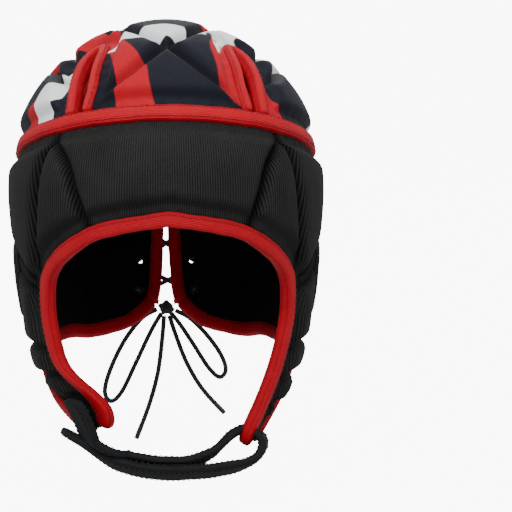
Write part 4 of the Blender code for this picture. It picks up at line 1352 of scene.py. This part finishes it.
@dataclass
class Bindings:
    """All the red tapes: seam, face opening, neck, back slit and four vents."""

    ribbon: Material
    thread: Material
    edge_top: float = 7.0 * MM
    seam_top: float = 8.3 * MM
    vent_top: float = 7.4 * MM
    slit_reach: float = 1.15
    neck_reach: float = 0.70
    trail_step: float = 2.0 * MM
    vent_step: float = 1.5 * MM

    def make(self) -> None:
        """Builds each tape with its stitches, close to the trail that its solid follows."""
        last = 180 - self.reach_back(self.slit_reach, CUT.seam_level(180.0))
        half = 0.5 * CUT.tape
        tapes = [
            Binding("seam_tape", "seam_binding", both_sides(CUT.seam(last)), CUT.seam_tape, self.seam_top,
                    rows=(-0.62, 0.70)),
            Binding("face_tape", "face_binding", both_sides(inset(CUT.face(self.trail_step)[:-2], half)),
                    CUT.tape, self.edge_top),
        ]
        neck = inset(CUT.neck(self.trail_step), half)
        neck = neck[2:][neck[2:, 0] < 180 - self.reach_back(self.neck_reach, CUT.neck_rows[-1][1])]
        for side, path in (("left", neck), ("right", mirrored(neck))):
            tapes.append(Binding(f"neck_tape_{side}", f"neck_binding_{side}", path, CUT.tape, self.edge_top))
        for where, path in zip(("front", "rear"), CUT.vents(self.vent_step)):
            line = inset(path, 0.5 * CUT.vent_tape)
            foot = inset(CUT.seam(), 0.32 * CUT.seam_tape)
            line = line[line[:, 1] < np.interp(line[:, 0], foot[:, 0], foot[:, 1])]
            for side, half_path in (("left", line), ("right", mirrored(line))):
                tapes.append(Binding(f"{where}_vent_tape_{side}", f"{where}_vent_binding_{side}", half_path,
                                     CUT.vent_tape, self.vent_top, step=1.2 * MM, end=1.0 * MM))
        slit = inset(CUT.slit(self.trail_step), half)
        slit = slit[slit[:, 0] < 180 - math.degrees(0.3 * CUT.tape / HEAD.back_reach)]
        top = (180.0, CUT.slit_top - 0.5 * CUT.tape / (0.5 * math.pi * HEAD.dome_height))
        right = mirrored(slit)
        right[:, 0] += 360
        slit = smooth_path(np.concatenate([slit, [top], right]), 260)
        tapes.append(Binding("slit_tape", "slit_binding", slit, CUT.tape, self.edge_top))
        for tape in tapes:
            tape.make(self.ribbon, self.thread)

    def reach_back(self, widths: float, level: float) -> float:
        """Degrees at the back of the head that some tape widths fill."""
        return math.degrees(CUT.tape * widths / abs(HEAD.points(180.0, level)[1]))


@dataclass
class ChinStrap:
    """Chin strap: sewn to the right tab, round the left tab, and back over itself to its free end."""

    webbing: Material
    sewn_with: Material
    width: float = 24.0 * MM
    thickness: float = 5.0 * MM
    laid: float = 5.3 * MM
    sides: int = 36
    squareness: float = 4.2
    hem: float = 2.3 * MM
    rounding: float = 1.2 * MM
    free_rounding: float = 11.0 * MM
    thinning: tuple[float, float] = (2.4 * MM, 1.0 * MM)
    furrow: float = 0.5 * MM
    ripple: tuple[float, float] = (0.10 * MM, 19.0 * MM)
    stitch: float = 2.1 * MM
    stitch_pitch: float = 3.0 * MM
    thread: float = 0.42 * MM
    step: float = 1.4 * MM
    seat: tuple[float, float] = (56.0, 1.945)
    seat_length: float = 10.0 * MM
    # x, y and drop as shares of the form's sizes; bearing the face looks to; degrees up from down
    free_rows: Rows = (
        (-0.740, -0.300, 0.936, -55, 30), (-0.675, -0.350, 0.950, -50, 28),
        (-0.575, -0.415, 0.978, -42, 30), (-0.393, -0.490, 1.028, -28, 30),
        (-0.196, -0.522, 1.054, -14, 28), (0.000, -0.528, 1.065, 0, 28),
        (0.262, -0.518, 1.062, 14, 28), (0.440, -0.500, 1.052, 24, 28),
        (0.555, -0.480, 1.038, 50, 30), (0.632, -0.465, 1.012, 72, 50),
        (0.668, -0.445, 0.972, 80, 84), (0.650, -0.425, 0.942, 83, 112),
        (0.600, -0.400, 0.926, 84, 134),
    )
    right_rows: Rows = ((-0.545, -0.528, 0.940, -62, 46), (-0.440, -0.525, 0.982, -44, 34))
    inner_run: tuple[float, float] = (3.3, 5.5)
    return_rows: Rows = ((0.300, -0.500, 0.993, 56, 34), (0.375, -0.475, 0.963, 66, 40),
                         (0.440, -0.435, 0.938, 66, 38), (0.505, -0.390, 0.926, 50, 24),
                         (0.570, -0.355, 0.924, 30, 14))

    def row(self, shares: Sequence[float]) -> Array:
        """A row of shares as a place and an outward normal."""
        x, y, drop, bearing, tilt = shares
        place = (x * HEAD.half_width, y * HEAD.front_reach, -HEAD.dome_height - drop * HEAD.skirt_depth)
        turn, tilt = math.radians(bearing), math.radians(tilt)
        return np.array((*place, math.sin(turn) * math.sin(tilt), -math.cos(turn) * math.sin(tilt),
                         -math.cos(tilt)))

    def seat_row(self, up: float, height: float) -> Array:
        """A row on the right tab, some way up from the seat, at a height above the lining."""
        where = (np.array([-self.seat[0]]), np.array([self.seat[1] - up / HEAD.skirt_depth]))
        place = HEAD.drawn(HEAD.lifted(*where, np.array([height])))[0]
        return np.concatenate([place, HEAD.normals(*where)[0]])

    def make(self) -> None:
        """Builds both strands and their stitching."""
        half = 0.5 * self.thickness
        on_tape, on_pad = TAPE_TOP + GAP + 2.1 * half, PAD_TOP + GAP + 0.7 * half
        outer = [self.row(shares) for shares in self.free_rows]
        fine = smooth_path(outer, 601)
        fine[:, 3:] = unit(fine[:, 3:])
        self.strand("chin_strap_outer", fine, "chin_strap", self.free_rounding)
        under = fine.copy()
        under[:, :3] -= under[:, 3:] * self.laid
        at = np.linspace(0, len(outer) - 1, len(under))
        inner = [self.seat_row(2 * self.seat_length, on_pad), self.seat_row(self.seat_length, on_pad),
                 self.seat_row(0.0, on_tape)]
        inner += [self.row(shares) for shares in self.right_rows]
        inner += list(read_at(np.linspace(*self.inner_run, 5), at, under))
        inner += [self.row(shares) for shares in self.return_rows]
        self.strand("chin_strap_inner", smooth_path(inner, 401), "chin_strap_return", self.rounding)

    def strand(self, name: str, path: Array, node: str, start: float) -> None:
        """One flat strand with rounded ends, woven borders and a stitch row along each.

        Args:
            name: Name of the piece.
            path: Rows of a place and an outward normal.
            node: The solid it stands for.
            start: Length over which its first end rounds off in width.
        """
        path = evenly(path, self.step)
        centres = path[:, :3]
        flow = unit(np.gradient(centres, axis=0))
        out = unit(path[:, 3:] - (path[:, 3:] * flow).sum(1)[:, None] * flow)
        across = np.cross(flow, out)
        along = lengths_along(centres)
        px, py = pillow(self.sides, self.squareness)
        half_w = 0.5 * self.width * rounded_ends(along, start, self.rounding)[:, None]
        thick = 0.5 * self.thickness * rounded_ends(along, *self.thinning)[:, None]
        x = px * half_w
        sewn = np.exp(-((np.abs(x) - (half_w - self.hem)) / self.furrow) ** 2) * (np.abs(py) > 0.3)
        size, length = self.ripple
        wave = size * np.sin(along * 2 * math.pi / length)[:, None] * np.cos(px * 3.0)
        points, faces = carried(centres, across, out, x, py * thick * (1 - 0.16 * sewn) + wave)
        border = np.broadcast_to(np.abs(px) > 0.80, x.shape)
        cloth = np.stack([np.repeat(along, self.sides), x.ravel()], axis=1)
        # sewn marks the pressed stitch furrows, which the webbing's finish darkens with painted shade
        zones = np.stack([border.ravel(), sewn.ravel()], axis=1)
        settle(new_piece(name, points, faces, self.webbing, cloth, zones, drawn=False), Slot.WEBBING, node)
        lines = [(centres + across * side * (half_w - self.hem) + out * face * 0.93 * thick, flow, out * face)
                 for side in (1, -1) for face in (1, -1)]
        sewing = Sewing(self.sewn_with, Slot.WEBBING, self.stitch, self.thread, drawn=False)
        places = np.arange(5 * MM, along[-1] - 2 * MM, self.stitch_pitch)
        sewing.rows(name + "_stitches", lines, along, places)


def tube(name: str, path: Array, radius: Array | float, material: Material, sides: int = 14,
         closed: bool = False) -> Object:
    """A round tube along a path, its frame turned as little as possible from point to point.

    Args:
        name: Name of the piece.
        path: Points of its middle line.
        radius: Its radius, one number or one a point.
        material: Its finish.
        sides: How many sides it has.
        closed: Whether the path returns to its start.

    Returns:
        The piece, not yet settled.
    """
    flow = np.roll(path, -1, axis=0) - np.roll(path, 1, axis=0) if closed else np.gradient(path, axis=0)
    flow = unit(flow)
    side = unit(np.cross(flow[0], (0.31, 0.17, 0.93)))
    across = []
    for direction in flow:
        side = unit(side - (side @ direction) * direction)
        across.append(side)
    turn = circle(sides)
    radius = np.broadcast_to(radius, (len(path),))[:, None]
    x, y = radius * np.cos(turn), radius * np.sin(turn)
    points, faces = carried(path, np.array(across), np.cross(flow, across), x, y)
    if closed:
        quads = ring_quads(len(path), sides, closed)
        points, faces = points[:-2], [quads if faces[0][0, 0] == 0 else quads[:, ::-1]]
    cloth = np.stack([np.repeat(lengths_along(path), sides), np.tile(turn, len(path))], axis=1)
    return new_piece(name, points, faces, material, cloth)


@dataclass
class Lace:
    """Round lace crossed over the slit between four pairs of eyelets and tied in a bow."""

    cord: Material
    plastic: Material
    thread: Material
    diameter: float = 3.0 * MM
    knot_radius: float = 5.5 * MM
    knot_shape: Triple = (1.0, 0.8, 0.9)
    knot_level: float = 1.562
    tip: float = 11.0 * MM
    step: float = 0.8 * MM
    edging: float = 0.7 * MM
    knot_gap: float = 0.7 * MM
    # heights of the eyelets' stitches outside and on the lining, and which way they face
    edging_sides: tuple[tuple[float, int], ...] = ((8.35 * MM, 1), (0.35 * MM, -1))
    # tilt, lean and shift of each turn round the knot
    turns: Rows = ((0.0, 0.25, -0.32), (0.0, -0.3, 0.34), (1.35, 0.15, 0.0))
    # side it is on (1 where it starts), share of the half width, share of the way down, turn, raised
    crossing: tuple[tuple[int, float, float, float, bool], ...] = (
        (1, 0.85, 0.00, 0.9, False), (1, 0.35, 0.34, 0.0, True), (-1, 0.35, 0.64, 0.0, True),
        (-1, 0.90, 1.00, -0.9, False), (-1, 1.12, 1.00, 0.0, False),
    )
    # name of the solid; x, outward and down from the knot, in metres
    free_cords: tuple[tuple[str, Rows], ...] = (
        ("lace_loop_left", (
            (0.0062, 0.000, 0.002), (0.015, 0.000, 0.007), (0.026, -0.001, 0.018), (0.035, -0.002, 0.031),
            (0.038, -0.002, 0.041), (0.034, 0.000, 0.046), (0.027, 0.002, 0.040), (0.018, 0.004, 0.026),
            (0.009, 0.004, 0.012), (0.0048, 0.003, 0.0062))),
        ("lace_loop_right", (
            (-0.0064, 0.000, 0.001), (-0.016, 0.000, 0.007), (-0.027, -0.001, 0.021),
            (-0.036, -0.002, 0.039), (-0.040, -0.002, 0.054), (-0.036, 0.000, 0.061),
            (-0.029, 0.002, 0.055), (-0.020, 0.004, 0.037), (-0.010, 0.004, 0.016),
            (-0.0052, 0.003, 0.0066))),
        ("lace_tail_left", (
            (0.0025, -0.001, 0.0068), (0.006, -0.001, 0.018), (0.013, -0.003, 0.036),
            (0.023, -0.004, 0.053), (0.037, -0.004, 0.069))),
        ("lace_tail_right", (
            (-0.0020, -0.001, 0.0072), (-0.003, -0.001, 0.022), (-0.006, -0.003, 0.043),
            (-0.012, -0.004, 0.064), (-0.020, -0.004, 0.085))),
    )

    def knot(self) -> Array:
        """Middle of the knot."""
        height = self.knot_radius + TAPE_TOP + GAP
        return HEAD.lifted(np.array([180.0]), np.array([self.knot_level]), np.array([height]))[0]

    def at_knot(self, offset: Sequence[float]) -> Array:
        """The offset from the knot's middle that lies just off its surface, in a direction."""
        offset = np.array(offset, float)
        size = self.knot_radius * np.array(self.knot_shape)
        return offset * (1.0 / np.linalg.norm(offset / size) + self.knot_gap / np.linalg.norm(offset))

    def zigzag(self, side: int, over: bool) -> Array:
        """Points of one lace from its top eyelet down to the knot.

        Args:
            side: 1 to start on the wearer's left, -1 on the right.
            over: Whether its first crossing passes over the other lace.

        Returns:
            Places along its middle line.
        """
        low = PAD_TOP + GAP + 0.5 * self.diameter
        high = low + self.diameter + GAP
        bearing, level = CUT.eyelets[0]
        start = 180 + side * (180 - bearing)
        rows = [(start, level, 0.4 * PAD_TOP), (start, level, PAD_TOP + GAP)]
        for upper, lower in zip(CUT.eyelets[:-1], CUT.eyelets[1:]):
            for end, share, way, turn, raised in self.crossing:
                half = 180 - (upper if end == 1 else lower)[0]
                level = upper[1] + way * (lower[1] - upper[1]) + turn * self.diameter / HEAD.skirt_depth
                rows.append((180 + end * side * share * half, level, high if raised and over else low))
            side, over = -side, not over
        table = np.array(rows)
        places = HEAD.lifted(table[:, 0], table[:, 1], table[:, 2])
        return np.concatenate([places, [self.knot() + self.at_knot((-side * 0.8, 0.0, 0.6))]])

    def make(self) -> None:
        """Builds the laces, knot, bow, tips and sewn eyelet rims."""
        for name, side, over in (("lace_left", -1, True), ("lace_right", 1, False)):
            path = evenly(smooth_path(self.zigzag(side, over), 700), self.step)
            settle(tube(name + "_braid", path, 0.5 * self.diameter, self.cord), Slot.CORD, name)
        self.tie()
        for name, rows in self.free_cords:
            self.bow(name, rows)
        self.edge_eyelets()

    def bow(self, name: str, rows: Rows) -> None:
        """One loop or one tail of the bow; a tail gets a plastic tip.

        Args:
            name: The solid it stands for.
            rows: Offsets from the knot.
        """
        offsets = np.array(rows) * np.array((1.0, 1.0, -1.0))
        offsets[0] = self.at_knot(offsets[0])
        loop = "loop" in name
        if loop:
            offsets[-1] = self.at_knot(offsets[-1])
        path = evenly(self.knot() + smooth_path(offsets, 600), self.step)
        item = tube(name + "_braid", path, 0.5 * self.diameter, self.cord)
        settle(item, Slot.CORD, name)
        if not loop:
            end = path[lengths_along(path) > lengths_along(path)[-1] - self.tip]
            size = (0.5 * self.diameter + 0.12 * MM) * rounded_ends(lengths_along(end), 0.6 * MM, 1.2 * MM)
            settle(tube(name + "_tip", end, size, self.plastic), Slot.CORD)

    def tie(self) -> None:
        """The knot: a core with three turns of lace drawn tight round it."""
        centre, size = self.knot(), self.knot_radius * np.array(self.knot_shape)
        turn, core = circle(72), 0.5 * self.diameter
        for k, (tilt, lean, shift) in enumerate(self.turns):
            ring = np.stack([shift + lean * np.sin(turn), np.cos(turn), np.sin(turn)], axis=1)
            c, s = math.cos(tilt), math.sin(tilt)
            ring = ring @ np.array(((c, 0, s), (0, 1, 0), (-s, 0, c)))
            name, nodes = (f"lace_knot_turn_{k - 1}", ()) if k else ("lace_knot_turns", ("lace_knot",))
            path = centre + unit(ring) * (size - core)
            settle(tube(name, path, core, self.cord, closed=True), Slot.CORD, *nodes)
        turns, rises = np.meshgrid(circle(24), np.linspace(0.02, math.pi - 0.02, 14))
        flat = np.sin(rises)
        ball = np.stack([flat * np.cos(turns), flat * np.sin(turns), np.cos(rises)], axis=-1)
        number = np.arange(turns.size).reshape(turns.shape)
        faces = [inward(ring_quads(*turns.shape)), number[:1], number[-1:, ::-1]]
        cloth = np.stack([rises.ravel() * 5 * MM, turns.ravel()], axis=1)
        points = centre + ball.reshape(-1, 3) * size * 0.8
        settle(new_piece("lace_knot_core", points, faces, self.cord, cloth), Slot.CORD)

    def edge_eyelets(self) -> None:
        """A ring of close stitches round each eyelet, outside and on the lining."""
        centre, aim, out = [], [], []
        turn = circle(18)
        reach = 0.5 * CUT.eyelet + self.edging
        for side in (1, -1):
            for b, v in CUT.eyelets:
                across, down = HEAD.slopes(np.array(b), np.array(v))
                bearing = side * (b + reach * np.cos(turn) / np.linalg.norm(across))
                level = v + reach * np.sin(turn) / np.linalg.norm(down)
                for height, face in self.edging_sides:
                    ring = HEAD.lifted(bearing, level, np.full(len(turn), height))
                    centre.append(ring)
                    aim.append(unit(ring - HEAD.lifted(side * b, v, height)))
                    out.append(HEAD.normals(bearing, level) * face)
        sewing = Sewing(self.thread, Slot.FOAM, 1.9 * MM, 0.55 * MM)
        sewing.make("eyelet_stitches", *(np.concatenate(block) for block in (centre, aim, out)))


@dataclass
class Studio:
    """Bowl of white paper, soft lights and the camera at the photograph's angle."""

    target: Triple = (0.0, 0.0, -0.117)
    distance: float = 1.0
    azimuth: float = -0.51
    elevation: float = 7.68
    focal_pixels: float = 1710.75
    aim_pixels: tuple[float, float] = (167.24, 239.61)
    frame_pixels: float = 512.0
    sensor: float = 36.0
    surround: float = 0.30
    # name, place, size and watts
    lamps: tuple[tuple[str, tuple[float, ...], float, float], ...] = (
        ("key", (-0.5, -1.4, 1.3), 0.8, 36.0), ("fill", (1.3, -1.3, 0.4), 1.2, 8.0),
        ("top", (0.1, -0.2, 1.6), 0.8, 14.0), ("left_rim", (-1.3, 0.7, 0.3), 0.8, 2.0),
        ("right_rim", (1.3, 0.7, 0.3), 0.8, 2.0), ("back", (0.0, 1.5, 0.9), 1.0, 8.0),
    )

    def make(self, floor_level: float) -> None:
        """Builds the stage.

        Args:
            floor_level: Height of the floor, in metres.
        """
        self.paper(floor_level)
        self.camera()
        self.lights()

    def paper(self, level: float) -> None:
        """A round floor that curves up into a wall all about: a flat run, a quarter turn and a rise."""
        turn = np.linspace(0, math.pi / 2, 17)[1:]
        flat, bend, far, top = 2.6, 0.9, 3.5, 5.0
        reach = np.concatenate([[0.02, 1.0, flat], flat + bend * np.sin(turn), [far]])
        rise = np.concatenate([[0.0, 0.0, 0.0], bend - bend * np.cos(turn), [top]]) + level
        about = circle(64)
        points = np.stack([np.outer(reach, np.sin(about)), np.outer(reach, -np.cos(about)),
                           np.repeat(rise[:, None], len(about), 1)], axis=-1)
        faces = [inward(ring_quads(len(reach), len(about))), np.arange(len(about))[None]]
        paper = StudioPaper().make()
        new_piece("studio_floor", points.reshape(-1, 3), faces, paper, drawn=False)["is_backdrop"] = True

    def put(self, name: str, data: bpy.types.ID, place: Vector, aim: Vector) -> Object:
        """Links a camera or light.

        Args:
            name: Name of the object.
            data: The camera or light.
            place: Where it stands.
            aim: Direction it looks along.

        Returns:
            The object.
        """
        item = bpy.data.objects.new(name, data)
        item.location = place
        item.rotation_mode = "QUATERNION"
        item.rotation_quaternion = aim.to_track_quat("-Z", "Y")
        bpy.context.scene.collection.objects.link(item)
        return item

    def camera(self) -> None:
        """The camera: turned a little aside, instead of shifted, so the cap stands left in the frame."""
        a, e = math.radians(self.azimuth), math.radians(self.elevation)
        back = Vector((math.sin(a) * math.cos(e), -math.cos(a) * math.cos(e), math.sin(e)))
        data = bpy.data.cameras.new("camera")
        data.sensor_width = self.sensor
        data.lens = self.sensor * self.focal_pixels / self.frame_pixels
        data.clip_start, data.clip_end = 0.05, 30
        right = (-back).cross(Vector((0, 0, 1))).normalized()
        up = right.cross(-back)
        aside, lower = ((0.5 * self.frame_pixels - aim) / self.focal_pixels for aim in self.aim_pixels)
        aim = (right * aside - up * lower - back).normalized()
        bpy.context.scene.camera = self.put("camera", data, Vector(self.target) + back * self.distance, aim)

    def lights(self) -> None:
        """A broad key from the upper left, a fill, lights from above and behind, and a soft surround."""
        for name, place, size, power in self.lamps:
            data = bpy.data.lights.new(name, "AREA")
            data.shape, data.size, data.energy = "SQUARE", size, power
            self.put(name, data, Vector(place), Vector(self.target) - Vector(place))
        world = bpy.context.scene.world or bpy.data.worlds.new("surround")
        bpy.context.scene.world = world
        world.use_nodes = True
        back = world.node_tree.nodes["Background"]
        back.inputs["Color"].default_value = (1.0, 1.0, 1.0, 1.0)
        back.inputs["Strength"].default_value = self.surround


def main() -> None:
    """Builds every piece in order."""
    logging.basicConfig(level=logging.INFO, format="%(message)s")
    low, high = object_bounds()
    Studio().make(low.z - 0.4 * MM)
    foam, jersey, ribbon = FoamCloth().make(), PrintedJersey().make(), RibbonTape().make()
    red_thread = SewingThread().make()
    # its two blacks are the painted shade along the twist
    black_thread = SewingThread("black_thread", (0.030, 0.030, 0.032), (0.008, 0.008, 0.009)).make()
    Band(foam).make()
    Crown(jersey).make()
    Bindings(ribbon, red_thread).make()
    ChinStrap(HookLoopWebbing().make(), black_thread).make()
    Lace(BraidedCord().make(), TipPlastic().make(), black_thread).make()


if __name__ == "__main__":
    main()
